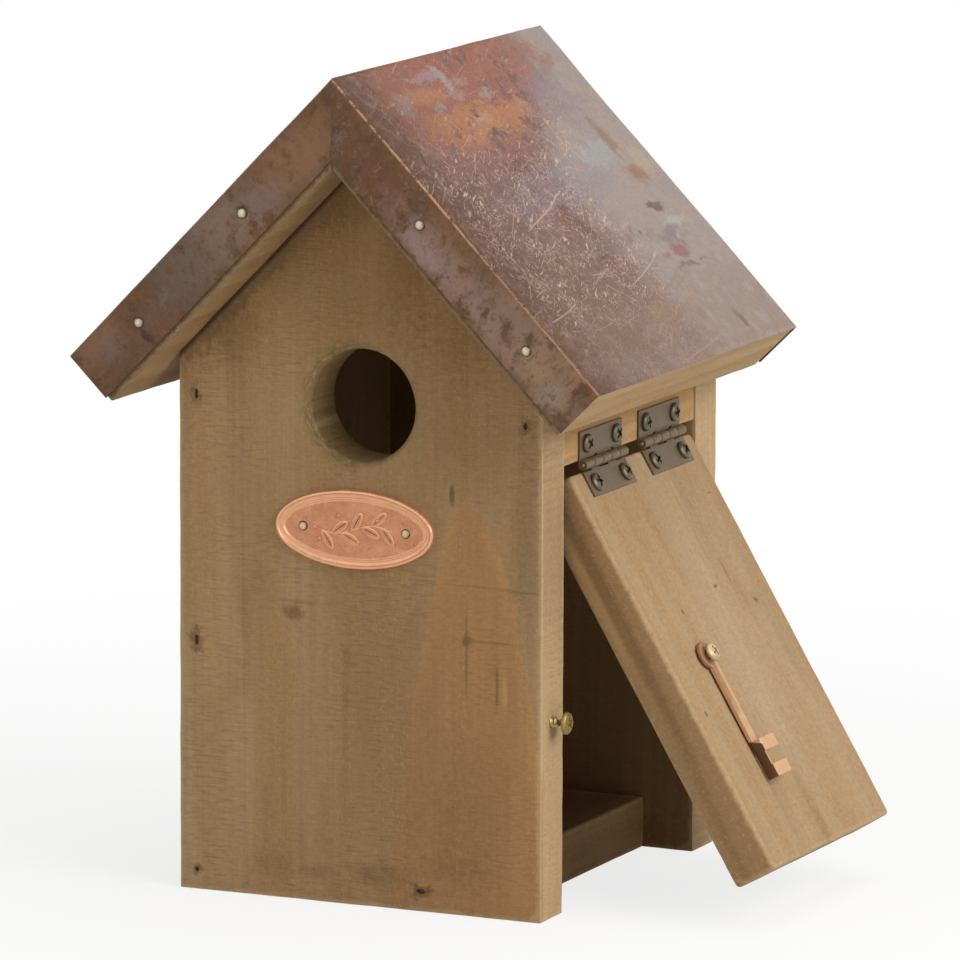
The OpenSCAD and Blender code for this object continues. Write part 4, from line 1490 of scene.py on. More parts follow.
@dataclass
class Walls(Assembly):
    """Front, back and left walls, floor board and hinge rail."""

    hole_r: float = 17 * MM
    hole_x: float = 1 * MM
    hole_z: float = 152.7 * MM
    rim_r: float = 1.6 * MM
    spare: float = 2 * MM
    trim_spare: float = 16 * MM
    brad_r: float = 0.84 * MM
    brad_edge: float = 5.5 * MM
    brad_low: float = 6 * MM
    brad_mid: float = 77 * MM
    brad_high: float = 152.5 * MM
    brad_floor_x: float = 20.5 * MM
    brad_rail_z: float = 150.2 * MM

    def build(self) -> None:
        """Models, dresses and fits the five boards."""
        s = self.sizes
        left_slope, right_slope = [((side * s.half_w, 0, s.side_h), (side * math.sin(s.pitch), 0, math.cos(s.pitch)))
                                   for side in (-1, 1)]
        rough_z = s.side_h + self.trim_spare
        # end is painted shade on the walls' inner faces, inside the box.
        side, end = s.half_w / MM, (134, 100, 60)
        boards = (
            (Board("front_wall_sawn", (-s.half_w, s.front_y, 0), (s.half_w, s.inner_front_y, s.gable_z + MM),
                   trims=(left_slope, right_slope), seed=2, round_r=1.0 * MM,
                   cutters=(self._hole, *self._brad_cutters(s.front_y), self._catch_bore)),
             Pine("pine_front", flame=True, hole=True, gable=True, saw=1.7, gold=0.45, marks=FRONT_MARKS,
                  # Painted light on the right end face, which faces the lamp, and painted shade on the inner face.
                  sides=(Side(0, side - 0.9, side - 0.1, (188, 162, 122)),
                         Side(1, s.inner_front_y / MM - 1, s.inner_front_y / MM, end)))),
            (Board("back_wall_sawn", (-s.half_w, s.inner_back_y, 0), (s.half_w, s.back_y, s.gable_z + MM),
                   trims=(left_slope, right_slope), cutters=self._brad_cutters(s.back_y), seed=5),
             Pine("pine_back", gable=True, shift=(37, 0, 91), saw=0.8, gold=0.45, marks=BACK_MARKS,
                  # Painted light on the right end face, which faces the lamp, and painted shade on the inner face.
                  sides=(Side(0, side - 0.9, side - 0.1, (196, 172, 136), 0.35),
                         Side(1, s.inner_back_y / MM + 1, s.inner_back_y / MM, end)))),
            (Board("left_wall_sawn", (-s.half_w, s.inner_front_y, 0),
                   (-s.half_w + s.board_t, s.inner_back_y, rough_z), trims=(left_slope,), seed=8),
             Pine("pine_left", turn=Cut.SIDEWAYS.value, shift=(13, 0, 41), saw=0.8, gold=0.45, light=(160, 128, 90),
                  marks=LEFT_MARKS)),
            (Board("floor_board_sawn", (-s.half_w + s.board_t, s.inner_front_y, 0),
                   (s.door_x - s.door_t - s.floor_gap, s.inner_back_y, s.floor_t), seed=11),
             # The floor's darker tones are stain and painted shade inside the box.
             Pine("pine_floor", light=(146, 114, 74), dark=(124, 92, 56), turn=Cut.LYING.value, shift=(5, 17, 0),
                  saw=0.4)),
            (Board("hinge_rail_sawn", (s.door_x - s.door_t, s.inner_front_y, s.pin_z + s.rail_gap),
                   (s.door_x, s.inner_back_y, rough_z), trims=(right_slope,), seed=14, round_r=0.6 * MM),
             Pine("pine_rail", light=(178, 140, 96), dark=(156, 116, 74), turn=Cut.LYING.value, shift=(0, 60, 0),
                  saw=0.2)),
        )
        for board, pine in boards:
            mount(board.build(), pine.build(self.effects), "house", "box_wood", board.name.removesuffix("_sawn"))

    def _hole(self) -> Piece:
        """Cutter for the entrance hole, flared at the front so that its rim is rounded.

        Returns:
            The cutter.
        """
        r, f = self.hole_r, self.rim_r
        turns = map(math.radians, range(0, 91, 15))
        rim = [(f * (1 - math.cos(turn)), r + f * (1 - math.sin(turn))) for turn in turns]
        cutter = lathe("hole_cutter", [(-self.spare, r + f), *rim, (self.sizes.board_t + self.spare, r)], 96)
        return place(cutter, facing((self.hole_x, self.sizes.front_y, self.hole_z), (0, 1, 0)))

    def _brad_cutters(self, face_y: float) -> tuple[Callable[[], Piece], ...]:
        """Cutters for the sunken brads' marks in one wall face.

        Args:
            face_y: The face's depth.

        Returns:
            One maker for each mark.
        """
        left, right = -self.sizes.half_w + self.brad_edge, self.sizes.half_w - self.brad_edge

        def cutter(x: float, z: float, wide: float, high: float) -> Piece:
            """Models one mark's cutter, stretched along the grain."""
            pin = lathe("brad_cutter", ((-1.3 * MM, self.brad_r * 0.7), (-0.6 * MM, self.brad_r * 0.95),
                                        (1.5 * MM, self.brad_r * 1.1)), 12)
            stand = facing((0, 0, 0), (0, -1 if face_y < 0 else 1, 0))
            return place(pin, Matrix.Translation((x, face_y, z)) @ Matrix.Diagonal((wide, 1, high, 1)) @ stand)

        return tuple(partial(cutter, *mark) for mark in (
            (left, self.brad_low, 1.0, 1.0), (left, self.brad_mid, 1.0, 2.1), (left, self.brad_high, 0.8, 2.0),
            (self.brad_floor_x, self.brad_low, 1.9, 1.1), (right, self.brad_rail_z, 1.0, 1.3)))

    def _catch_bore(self) -> Piece:
        """Cutter for the catch screw's bore in the front wall's edge."""
        s = self.sizes
        bore = lathe("catch_bore", ((-18 * MM, 1.4 * MM), (-1 * MM, 1.6 * MM), (2 * MM, 1.9 * MM)), 24)
        return place(bore, facing((s.half_w, s.front_y + s.board_t / 2, s.catch_z), (1, 0, 0)))


@dataclass
class Roof(Assembly):
    """Roof boards, the folded copper sheet and its nails."""

    fold_r: float = 0.9 * MM
    nail_upper: float = 50.3 * MM
    nail_lower: float = 99.6 * MM
    seam: float = 0.4 * MM
    step: float = 3.5 * MM
    flange_rows: int = 5
    past_ridge: float = 22 * MM
    inward: Vector = field(init=False)
    along: Vector = field(init=False)
    ridge: Vector = field(init=False)

    def __post_init__(self) -> None:
        """Works out the right slope's directions, into the roof and down the slope, and the ridge."""
        across, down = math.cos(self.sizes.pitch), math.sin(self.sizes.pitch)
        self.inward, self.along = Vector((-down, 0, -across)), Vector((across, 0, -down))
        self.ridge = Vector((0, 0, self.sizes.ridge_z))

    def build(self) -> None:
        """Models, dresses and fits the roof."""
        self._boards()
        self._copper()
        self._nails()

    def _boards(self) -> None:
        """The two boards."""
        s = self.sizes
        length = s.slope_len - s.eave_setback
        top = s.ridge_z - s.sheet_t / math.cos(s.pitch)
        low_y, high_y = s.roof_front_y + s.sheet_t, s.back_y - s.sheet_t
        for side, node, seed, light, dark in ((1, "right_roof_board", 21, (178, 148, 108), (152, 122, 84)),
                                              (-1, "left_roof_board", 24, (156, 126, 88), (128, 98, 62))):
            turn = Matrix.Translation((0, 0, top)) @ Matrix.Rotation(side * s.pitch, 4, "Y")
            x0, x1 = sorted((-side * self.past_ridge, side * length))
            mitre = (tuple(turn.inverted() @ Vector((0, 0, top))),
                     tuple(turn.to_3x3().inverted() @ Vector((-side, 0, 0))))
            board = Board(node + "_sawn", (x0, low_y, -s.roof_t), (x1, high_y, 0), turn=turn, trims=(mitre,),
                          seed=seed, round_r=1.0 * MM, step=4 * MM)
            look = Pine("pine_" + node, light=light, dark=dark, turn=Cut.LYING.value, wear=0.3, saw=0.25,
                        shift=(seed, 3 * seed, 0),
                        # Dark front ends: stained end grain and painted shade under the copper's edge.
                        sides=(Side(2, low_y / MM + 1.2, low_y / MM + 0.3, (84, 62, 38), 0.9),))
            mount(board.build(), look.build(self.effects), "house", "box_wood", node)

    def _copper(self) -> None:
        """The sheet: one slope with its folded edges, mirrored, joined at the ridge and thickened."""
        s, r = self.sizes, self.fold_r
        x, z = s.slope_point(s.slope_len / 2, 0)
        front, back = s.roof_front_y + r, s.back_y - r
        sheet = start(bpy.ops.mesh.primitive_grid_add, "copper_roof_folded", (s.slope_len, back - front, 1),
                      x_subdivisions=round(s.slope_len / self.step), y_subdivisions=round((back - front) / self.step),
                      size=1, rotation=(0, s.pitch, 0), location=(x, (front + back) / 2, z))
        with Bench(sheet, "EDGE") as bench:
            for edge_y, outward in ((front, -1), (back, 1)):
                bench.edges(lambda a, b, border: border and abs(a.y - edge_y) < TOUCH and abs(b.y - edge_y) < TOUCH)
                last = 0.0
                for angle in map(math.radians, (30, 60, 90)):
                    out = r * (math.sin(angle) - math.sin(last)) * outward
                    bench.extrude(Vector((0, out, 0)) + self.inward * r * (math.cos(last) - math.cos(angle)))
                    last = angle
                for _ in range(self.flange_rows):
                    bench.extrude(self.inward * (s.flange_h - r) / self.flange_rows)
        with Bench(sheet, "FACE") as bench:
            bench.cut((0, 0, 0), (-1, 0, 0), clear=True, fill=False)
        with Bench(sheet) as bench:
            if bench.points(lambda co: abs(co.x) < TOUCH and not front - CLOSE < co.y < back + CLOSE):
                bench.move((self.seam, 0, 0))
        self._uneven_edges(sheet)
        left = copy_of(sheet, Matrix.Diagonal((-1, 1, 1, 1)))
        self._cover_board(sheet)
        for half, seed in ((sheet, 31), (left, 37)):
            ripple(half, seed, 0.5 * MM, 30 * MM)
        sheet = join([sheet, left], "copper_roof_folded")
        with Bench(sheet) as bench:
            bench.points(lambda co: abs(co.x) < 0.6 * MM and front - 0.1 * MM < co.y < back + 0.1 * MM
                         and co.z > s.ridge_z - 2 * MM)
            bench.scale((0, 1, 1), (0, 0, 0))
            bench.tidy(2 * CLOSE)
        self._unfold(sheet)
        modify(sheet, "SOLIDIFY", thickness=s.sheet_t, offset=-1.0, use_even_offset=True)
        mount(smooth(sheet, 40), PatinaCopper().build(self.effects), "house", "roof_copper", "copper_roof")

    def _cover_board(self, sheet: Piece) -> None:
        """Draws the right front edge down over the board's end, more from the ridge on.

        Args:
            sheet: The right half of the sheet.
        """
        s = self.sizes
        rng = random.Random(12)
        count = round(s.slope_len / self.step)
        with Bench(sheet) as bench:
            for number in range(count + 1):
                spot = number / count
                target = (self.ridge + self.along * spot * s.slope_len + self.inward * s.flange_h
                          + Vector((0, s.roof_front_y, 0)))
                if bench.points(lambda co: (co - target).length < 0.6 * self.step):
                    draw = min(1.0, 0.35 + 3.4 * spot) * 1.35 + rng.uniform(-0.2, 0.25)
                    bench.move(self.inward * draw * MM)

    def _uneven_edges(self, sheet: Piece) -> None:
        """Lets the sheet's cut edges waver a little.

        Args:
            sheet: The right half of the sheet.
        """
        s = self.sizes
        rng = random.Random(5)
        with Bench(sheet) as bench:
            for _ in range(26):
                spot = rng.uniform(0.02, 0.99) * s.slope_len
                side = rng.choice((s.roof_front_y, s.back_y))
                target = self.ridge + self.along * spot + self.inward * s.flange_h + Vector((0, side, 0))
                if bench.points(lambda co: (co - target).length < 2.6 * MM):
                    bench.move(self.inward * rng.uniform(-0.45, 0.3) * MM, 6 * MM)

    def _unfold(self, sheet: Piece) -> None:
        """Gives the sheet a flat map in metres: depth along u, distance from the ridge along v.

        Args:
            sheet: The joined sheet.
        """
        s = self.sizes
        mesh = bmesh.new()
        mesh.from_mesh(sheet.data)
        layer = mesh.loops.layers.uv.new("sheet")
        for face in mesh.faces:
            side = 1 if face.calc_center_median().x > 0 else -1
            for loop in face.loops:
                co = loop.vert.co
                across, down = abs(co.x), s.ridge_z - co.z
                along = across * math.cos(s.pitch) + down * math.sin(s.pitch)
                depth = down * math.cos(s.pitch) - across * math.sin(s.pitch)
                spread = depth if co.y > 0 else -depth
                folded = min(abs(co.y - s.roof_front_y), abs(co.y - s.back_y)) < 2 * MM
                loop[layer].uv = (co.y + (spread if folded else 0.0), side * along)
        mesh.to_mesh(sheet.data)
        mesh.free()

    def _nails(self) -> None:
        """The eight nails of the folded edges, hammered in at slight tilts."""
        s = self.sizes
        rng = random.Random(9)
        # The nails' dark edge colour paints a contact shadow round each head's rim.
        brass = Metal("nail_brass", (226, 214, 182), (160, 140, 106), (86, 66, 44), (58, 42, 30), 0.34, 0.7, wear=1.0,
                      rim=0.8).build(self.effects)
        for node, y, out in (("front_roof_nails", s.roof_front_y, -1), ("back_roof_nails", s.back_y, 1)):
            places = []
            for side in (-1, 1):
                for along in (self.nail_upper, self.nail_lower):
                    x, z = s.slope_point(along, s.flange_h / 2)
                    tilt = (rng.uniform(-0.05, 0.05), out, rng.uniform(-0.05, 0.05))
                    places.append(facing((side * x, y, z), tilt, rng.uniform(0, math.tau)))
            nails = scatter(Nail().build(), places, node + "_driven")
            mount(mark_edges(nails, sharp_edges(nails, 60)), brass, "house", "brass", node)


@dataclass
class Plaque(Assembly):
    """The oval copper plaque: a double rim, a hammered field and a leafy sprig."""

    width: float = 52.3 * MM
    height: float = 23.9 * MM
    field_t: float = 1.0 * MM
    field_rings: int = 10
    centre_x: float = -1.2 * MM
    centre_z: float = 115 * MM
    nail_x: float = 17 * MM
    leaf_l: float = 6.4 * MM
    leaf_w: float = 2.7 * MM
    sink: float = 0.1 * MM
    twig_r: float = 0.42 * MM
    twig_start: float = -13.2 * MM
    twig_end: float = 12.6 * MM
    twig_steps: int = 22
    wave_h: float = 1.5 * MM
    wave_l: float = 13 * MM
    rims: tuple[tuple[float, float], ...] = ((0.1, 0.35), (0.25, 0.25), (0.45, 0.0), (0.3, -0.35), (0.35, -0.25),
                                             (0.7, 0.0), (0.2, 0.28), (0.35, 0.0), (0.25, -0.28))
    leaves: tuple[float, ...] = (-10.5, -7.2, -3.9, -0.6, 2.7, 6.0, 9.2)
    berries: tuple[tuple[float, float], ...] = ((-5.4, 3.9), (1.2, -3.6), (7.6, 3.3), (-11.6, -3.4))

    def build(self) -> None:
        """Models, dresses and fits the plaque, its sprig and its nails."""
        # The bright edge colour on the rims is wear and painted highlight.
        copper = Metal("plaque_copper", (208, 148, 110), (168, 106, 72), (112, 66, 40), (240, 186, 144), 0.34, 0.62,
                       0.65, 0.6, 0.65).build(self.effects)
        mount(self._plate(), copper, "house", "bright_copper", "plaque")
        mount(self._sprig(), copper, "house", "bright_copper")
        self._nails()

    def _stand(self) -> Matrix:
        """Matrix that stands flat work, its face up, against the front wall's face."""
        return facing((self.centre_x, self.sizes.front_y, self.centre_z), (0, -1, 0))

    def _plate(self) -> Piece:
        """The plate with its rims, each an inset and a lift in millimetres.

        Returns:
            The plate, in place.
        """
        plate = start(bpy.ops.mesh.primitive_cylinder_add, "plaque_pressed", (self.width, self.height, 1),
                      vertices=96, radius=0.5, depth=self.field_t, location=(0, 0, self.field_t / 2))
        with Bench(plate, "FACE") as bench:
            bench.faces(lambda centre, normal: normal.z > 0.9)
            for inset, lift in self.rims:
                bpy.ops.mesh.inset(thickness=inset * MM, depth=0)
                if lift:
                    bench.move((0, 0, lift * MM))
            for ring in range(self.field_rings + 1, 1, -1):
                bench.extrude((0, 0, 0))
                bench.scale((ring / (ring + 1), ring / (ring + 1), 1), (0, 0, 0))
            bench.tidy()
        sharp = [(self._stand() @ a, self._stand() @ b) for a, b in sharp_edges(plate, 25)]
        ripple(place(plate, self._stand()), 41, 0.22 * MM, 2.6 * MM)
        return smooth(mark_edges(plate, sharp), 45)

    def _leaf(self) -> Piece:
        """One pressed leaf with a raised midrib, its stalk end at the origin.

        Returns:
            The leaf.
        """
        leaf = start(bpy.ops.mesh.primitive_circle_add, "leaf", (self.leaf_l, self.leaf_w, 1), vertices=20, radius=0.5,
                     fill_type="NGON", location=(self.leaf_l / 2, 0, 0))
        with Bench(leaf, "FACE") as bench:
            bench.all()
            bench.extrude((0, 0, 0.35 * MM))
            for inset, lift in ((0.35, 0.2), (0.5, -0.12)):
                bpy.ops.mesh.inset(thickness=inset * MM, depth=0)
                bench.move((0, 0, lift * MM))
            bench.tidy()
        with Bench(leaf) as bench:
            for share, squeeze in ((0.85, 0.7), (0.95, 0.35), (0.08, 0.5)):
                tip = share > 0.5
                bench.points(lambda co: co.x > share * self.leaf_l if tip else co.x < share * self.leaf_l)
                bench.scale((1, squeeze, 1), (0, 0, 0))
        return leaf

    def _wave(self, x: float) -> float:
        """Height of the twig at a place across the field."""
        return self.wave_h * math.sin(x / self.wave_l * math.pi)

    def _sprig(self) -> Piece:
        """A wavy twig with leaves and berries across the field.

        Returns:
            The sprig, in place.
        """
        x, level = self.twig_start, self.field_t - self.sink
        twig = start(bpy.ops.mesh.primitive_circle_add, "twig", vertices=10, radius=self.twig_r, fill_type="NGON",
                     rotation=(0, math.pi / 2, 0), location=(x, self._wave(x), level))
        with Bench(twig, "FACE") as bench:
            bench.all()
            for _ in range(self.twig_steps):
                new = x + (self.twig_end - self.twig_start) / self.twig_steps
                bench.extrude((new - x, self._wave(new) - self._wave(x), 0))
                x = new
            bench.scale((1, 0.5, 0.5), (self.twig_end, self._wave(self.twig_end), level))
            bench.tidy()
        parts, leaf = [twig], self._leaf()
        for number, x in enumerate(self.leaves):
            slope = self.wave_h / self.wave_l * math.pi * math.cos(x * MM / self.wave_l * math.pi)
            angle = math.atan(slope) + math.radians(40 if number % 2 else -40)
            spot = Matrix.Translation((x * MM, self._wave(x * MM), level - 0.02 * MM))
            parts.append(copy_of(leaf, spot @ Matrix.Rotation(angle, 4, "Z")))
        berry = lathe("berry", [(up * MM, out * MM) for up, out in ((0, 0.75), (0.35, 0.78), (0.62, 0.6), (0.8, 0.25))],
                      14)
        for x, y in self.berries:
            parts.append(copy_of(berry, Matrix.Translation((x * MM, y * MM, level - 0.05 * MM))))
        for pattern in (leaf, berry):
            bpy.data.objects.remove(pattern)
        sprig = place(join(parts, "plaque_sprig"), self._stand())
        return smooth(mark_edges(sprig, sharp_edges(sprig, 50)), 50)

    def _nails(self) -> None:
        """The two nails that hold the plaque."""
        y = self.sizes.front_y - self.field_t + self.sink
        places = [facing((self.centre_x + side * self.nail_x, y, self.centre_z), (0.03 * side, -1, 0.02), side)
                  for side in (-1, 1)]
        nails = scatter(Nail(length=9.5 * MM, head_r=1.5 * MM).build(), places, "plaque_nails_driven")
        # The nails' dark edge colour paints a contact shadow round each head's rim.
        brass = Metal("plaque_nail_brass", (226, 202, 158), (160, 120, 82), (88, 58, 36), (64, 40, 26), 0.34, 0.7,
                      wear=1.0, rim=0.75)
        mount(mark_edges(nails, sharp_edges(nails, 60)), brass.build(self.effects), "house", "brass", "plaque_nails")


@dataclass
class Hinges(Assembly):
    """Two butt hinges with rolled knuckles and eight screws."""

    length: float = 31 * MM
    reach: float = 10 * MM
    leaf_t: float = 0.8 * MM
    knuckles: int = 5
    roll: float = math.radians(305)
    gap: float = 0.4 * MM
    pin_r: float = 0.75 * MM
    spread: float = 22 * MM
    screw_spread: float = 10.7 * MM
    screw_reach: float = 6.1 * MM
    corner_r: float = 0.8 * MM

    def build(self) -> None:
        """Models, dresses and fits leaves, pins and screws."""
        s = self.sizes
        # The lighter edge colour on the leaves is wear and painted highlight.
        steel = Metal("hinge_steel", (88, 80, 62), (74, 66, 50), (52, 44, 32), (122, 99, 72), 0.38, 0.5, 0.6, 0.15,
                      0.5, (s.pin_x / MM, s.pin_z / MM, 1.75)).build(self.effects)
        brass = Metal("pin_brass", (160, 132, 100), (126, 98, 72), (76, 58, 40), (190, 162, 128), 0.4, 0.6)
        brass = brass.build(self.effects)
        middle = (s.door_front_y + s.door_back_y) / 2
        for name, y in (("front", middle - self.spread), ("rear", middle + self.spread)):
            for side, part, body in ((1, "rail", "house"), (-1, "door", "door")):
                leaf = self._leaf(f"{name}_{part}_leaf_rolled", y, side)
                if body == "door":
                    place(leaf, s.swing())
                mount(leaf, steel, body, "steel", f"{name}_hinge_{part}_leaf")
            mount(self._pin(f"{name}_pin_turned", y), brass, "house", "steel", f"{name}_hinge_pin")
        self._screws(middle)

    def _leaf(self, name: str, y: float, side: int) -> Piece:
        """One leaf: a plate whose knuckles are rolled round the pin.

        Args:
            name: The leaf's name.
            y: The hinge's middle.
            side: 1 for the leaf above the pin, -1 for the one below.

        Returns:
            The leaf.
        """
        s = self.sizes
        x, inner = s.pin_x - s.knuckle_r + self.leaf_t / 2, s.knuckle_r + self.gap
        root, far = s.pin_z + side * inner, s.pin_z + side * self.reach
        pitch, half = self.length / self.knuckles, self.length / 2
        spans = [(y - half + i * pitch + self.gap / 2, y - half + (i + 1) * pitch - self.gap / 2)
                 for i in range(0 if side > 0 else 1, self.knuckles, 2)]
        leaf = start(bpy.ops.mesh.primitive_plane_add, name, (self.reach - inner, self.length, 1), size=1,
                     location=(x, y, (root + far) / 2), rotation=(0, math.pi / 2, 0))
        with Bench(leaf, "EDGE") as bench:
            for cut in (cut for span in spans for cut in span if abs(cut - y) < half - CLOSE):
                bench.cut((0, cut, 0), (0, 1, 0))
            bench.edges(lambda a, b, border: border and abs(a.z - root) < TOUCH and abs(b.z - root) < TOUCH
                        and any(p - self.gap / 2 < (a.y + b.y) / 2 < q + self.gap / 2 for p, q in spans))
            bench.extrude((0, 0, -side * inner))
            bpy.ops.mesh.spin(steps=20, angle=self.roll * side, center=(s.pin_x, 0, s.pin_z), axis=(0, 1, 0))
        with Bench(leaf) as bench:
            bench.tidy()
            bench.points(lambda co: abs(co.z - far) < TOUCH and abs(abs(co.y - y) - half) < TOUCH)
            bpy.ops.mesh.bevel(offset=self.corner_r, segments=4, affect="VERTICES")
        modify(leaf, "SOLIDIFY", thickness=self.leaf_t, offset=0.0, use_even_offset=True)
        sharp = sharp_edges(leaf, 50)
        soften(leaf, 0.12 * MM, 2, 50)
        return smooth(mark_edges(leaf, sharp), 40)

    def _pin(self, name: str, y: float) -> Piece:
        """A pin with slightly rounded ends.

        Args:
            name: The pin's name.
            y: The hinge's middle.

        Returns:
            The pin.
        """
        half, r = self.length / 2, self.pin_r
        end = ((half, r / 2), (half - 0.15 * MM, r * 0.9), (half - 0.4 * MM, r))
        pin = lathe(name, (*((-z, out) for z, out in end), *reversed(end)), 24)
        place(pin, facing((self.sizes.pin_x, y, self.sizes.pin_z), (0, 1, 0)))
        return smooth(mark_edges(pin, sharp_edges(pin, 40)), 50)

    def _screws(self, middle: float) -> None:
        """The eight screws.

        Args:
            middle: The door's middle depth.
        """
        s = self.sizes
        # The screws' dark edge colour paints a contact shadow round each head and shade in its cross recess.
        steel = Metal("screw_steel", (108, 98, 76), (82, 72, 54), (44, 34, 24), (56, 46, 34), 0.32, 0.55, 0.6,
                      wear=0.7).build(self.effects)
        rng = random.Random(4)
        face = s.door_x + self.leaf_t + 0.1 * MM
        for side, part, body in ((1, "rail", "house"), (-1, "door", "door")):
            places = []
            for y in (middle - self.spread, middle + self.spread):
                for end in (-1, 1):
                    spot = (face, y + end * self.screw_spread, s.pin_z + side * self.screw_reach)
                    tilt = (1, rng.uniform(-0.03, 0.03), rng.uniform(-0.03, 0.03))
                    places.append(facing(spot, tilt, rng.uniform(0, math.tau)))
            pattern = Screw(2.9 * MM, 1.5 * MM, 1.2 * MM, 10.5 * MM).build()
            screws = scatter(pattern, places, f"{part}_hinge_screws_driven")
            if body == "door":
                place(screws, s.swing())
            mark_edges(screws, sharp_edges(screws, 60))
            mount(screws, steel, body, "steel", f"{part}_hinge_screws")


@dataclass
class Door(Assembly):
    """The door board with its key-shaped latch."""

    key_drop: float = 66.9 * MM
    key_inset: float = 24 * MM
    key_t: float = 1.1 * MM
    key_w: float = 4.1 * MM
    key_ring_r: float = 4.3 * MM
    key_bore_r: float = 1.75 * MM
    key_shift: float = 0.85 * MM
    neck: float = 2.6 * MM
    fold: float = 0.4 * MM
    bit_h: float = 3.8 * MM
    tooth_l: float = 10.2 * MM
    tooth_w: float = 4 * MM
    slot_w: float = 4.6 * MM
    slot_at: float = 35.853 * MM
    clear: float = 0.3 * MM
    head_clear: float = 1.2 * MM

    def build(self) -> None:
        """Models, dresses and fits the door, the key and the key's screw."""
        s = self.sizes
        across, up = math.cos(s.door_angle), math.sin(s.door_angle)
        door = Board("door_sawn", (s.door_x - s.door_t, s.door_front_y, s.door_top_z - s.door_len),
                     (s.door_x, s.door_back_y, s.door_top_z), turn=s.swing(), seed=51, round_r=1.3 * MM)
        front = s.door_front_y / MM
        look = Pine("pine_door", turn=(0, s.door_angle, 0), shift=(7, 0, 23), saw=0.3, fleck=0.09, hair=0.26,
                    light=(162, 137, 104), dark=(148, 121, 88), stain=(138, 110, 76), cloud=0.25, face=(1, 2),
                    marks=DOOR_MARKS, streaks=DOOR_STREAKS, level=(s.pin_z * across - s.pin_x * up) / MM,
                    outer=(s.pin_x * across + s.pin_z * up) / MM - 1.6,
                    # Painted shade on the door's front edge, which faces away from the lamp.
                    sides=(Side(1, front + 1.1, front + 0.3, (144, 110, 72), 0.75),))
        mount(door.build(), look.build(self.effects), "door", "door_wood", "door")
        self._key()
        self._screw()

    @property
    def key_place(self) -> Matrix:
        """Matrix from the key's own plane to the open door: shaft down -Y, teeth to +X, up +Z."""
        s = self.sizes
        stand = Matrix(((0, 0, 1, 0), (1, 0, 0, 0), (0, 1, 0, 0), (0, 0, 0, 1)))
        spot = Matrix.Translation((s.half_w + self.clear, s.door_front_y + self.key_inset, s.pin_z - self.key_drop))
        return s.swing() @ spot @ stand

    def _key(self) -> None:
        """The key: a washer-like ring, a shaft and a folded bit with two teeth."""
        t, fold, ring_r = self.key_t, self.fold, self.key_ring_r
        left = self.key_shift - self.key_w / 2
        start_y = self.tooth_w + self.slot_w / 2 - self.slot_at
        first, second = start_y - self.tooth_w, start_y - self.tooth_w - self.slot_w
        key = start(bpy.ops.mesh.primitive_plane_add, "key_latch_folded", (self.key_w - fold, -first - self.neck, 1),
                    size=1, location=(left + (self.key_w + fold) / 2, (first - self.neck) / 2, 0))

        def on_side(a: Vector, b: Vector) -> bool:
            """Whether an edge lies along the side that is folded up."""
            return abs(a.x - left - fold) < TOUCH and abs(b.x - left - fold) < TOUCH

        with Bench(key, "EDGE") as bench:
            bench.cut((0, start_y, 0), (0, 1, 0))
            bench.edges(lambda a, b, border: border and on_side(a, b) and (a.y + b.y) / 2 > start_y)
            bench.extrude((-fold, 0, 0))
            bench.edges(lambda a, b, border: border and on_side(a, b) and (a.y + b.y) / 2 < start_y)
            self._bend(bench, ((-1, 0), (0, 1)))
            bench.extrude((0, 0, self.bit_h - 2 * fold))
            bench.edges(lambda a, b, border: border and max(a.y, b.y) < first + TOUCH
                        and max(a.x, b.x) < left + fold + TOUCH)
            bench.extrude((0, -self.slot_w, 0))
            bench.extrude((0, -self.tooth_w, 0))
            for low, rise in ((-TOUCH, 2.6 * MM), (self.bit_h / 2, -1.4 * MM)):
                bench.points(lambda co: abs(co.y - start_y) < TOUCH and co.z > low and co.x < left + fold / 2)
                bench.move((0, rise, 0))
            top = self.bit_h - fold
            bench.edges(lambda a, b, border: border and abs(a.z - top) < TOUCH and abs(b.z - top) < TOUCH
                        and abs(a.x - b.x) < TOUCH and not second < (a.y + b.y) / 2 < first)
            self._bend(bench, ((0, 1), (1, 0)))
            bench.extrude((self.tooth_l - fold, 0, 0))
            bench.tidy()
        under = next(f for f in key.data.polygons if f.center.z < TOUCH).normal.z < 0
        modify(key, "SOLIDIFY", thickness=t, offset=-1.0 if under else 1.0, use_even_offset=True)
        carve(key, lathe("key_ring", ((0.0, ring_r - 0.15 * MM), (0.2 * MM, ring_r), (t - 0.3 * MM, ring_r),
                                      (t - 0.08 * MM, ring_r - 0.12 * MM), (t, ring_r - 0.35 * MM)), 48), "UNION")
        carve(key, lathe("key_bore", ((-1 * MM, self.key_bore_r), (t + 1 * MM, self.key_bore_r)), 32))
        sharp = sharp_edges(key, 45)
        soften(key, 0.18 * MM, 2, 45)
        with Bench(key) as bench:
            bench.tidy(1e-7)
        smooth(place(mark_edges(key, sharp), self.key_place), 40)
        # The shade setting paints shade on the bit's outer face, which faces away from the lamp; the bright edges are
        # wear and painted highlight.
        copper = Metal("key_copper", (178, 132, 90), (132, 90, 58), (84, 52, 30), (226, 184, 140), 0.46, 0.6, 0.75,
                       0.4, shade=(-23.6, -23.35, 52.0))
        mount(key, copper.build(self.effects), "latch", "bright_copper", "key_latch")

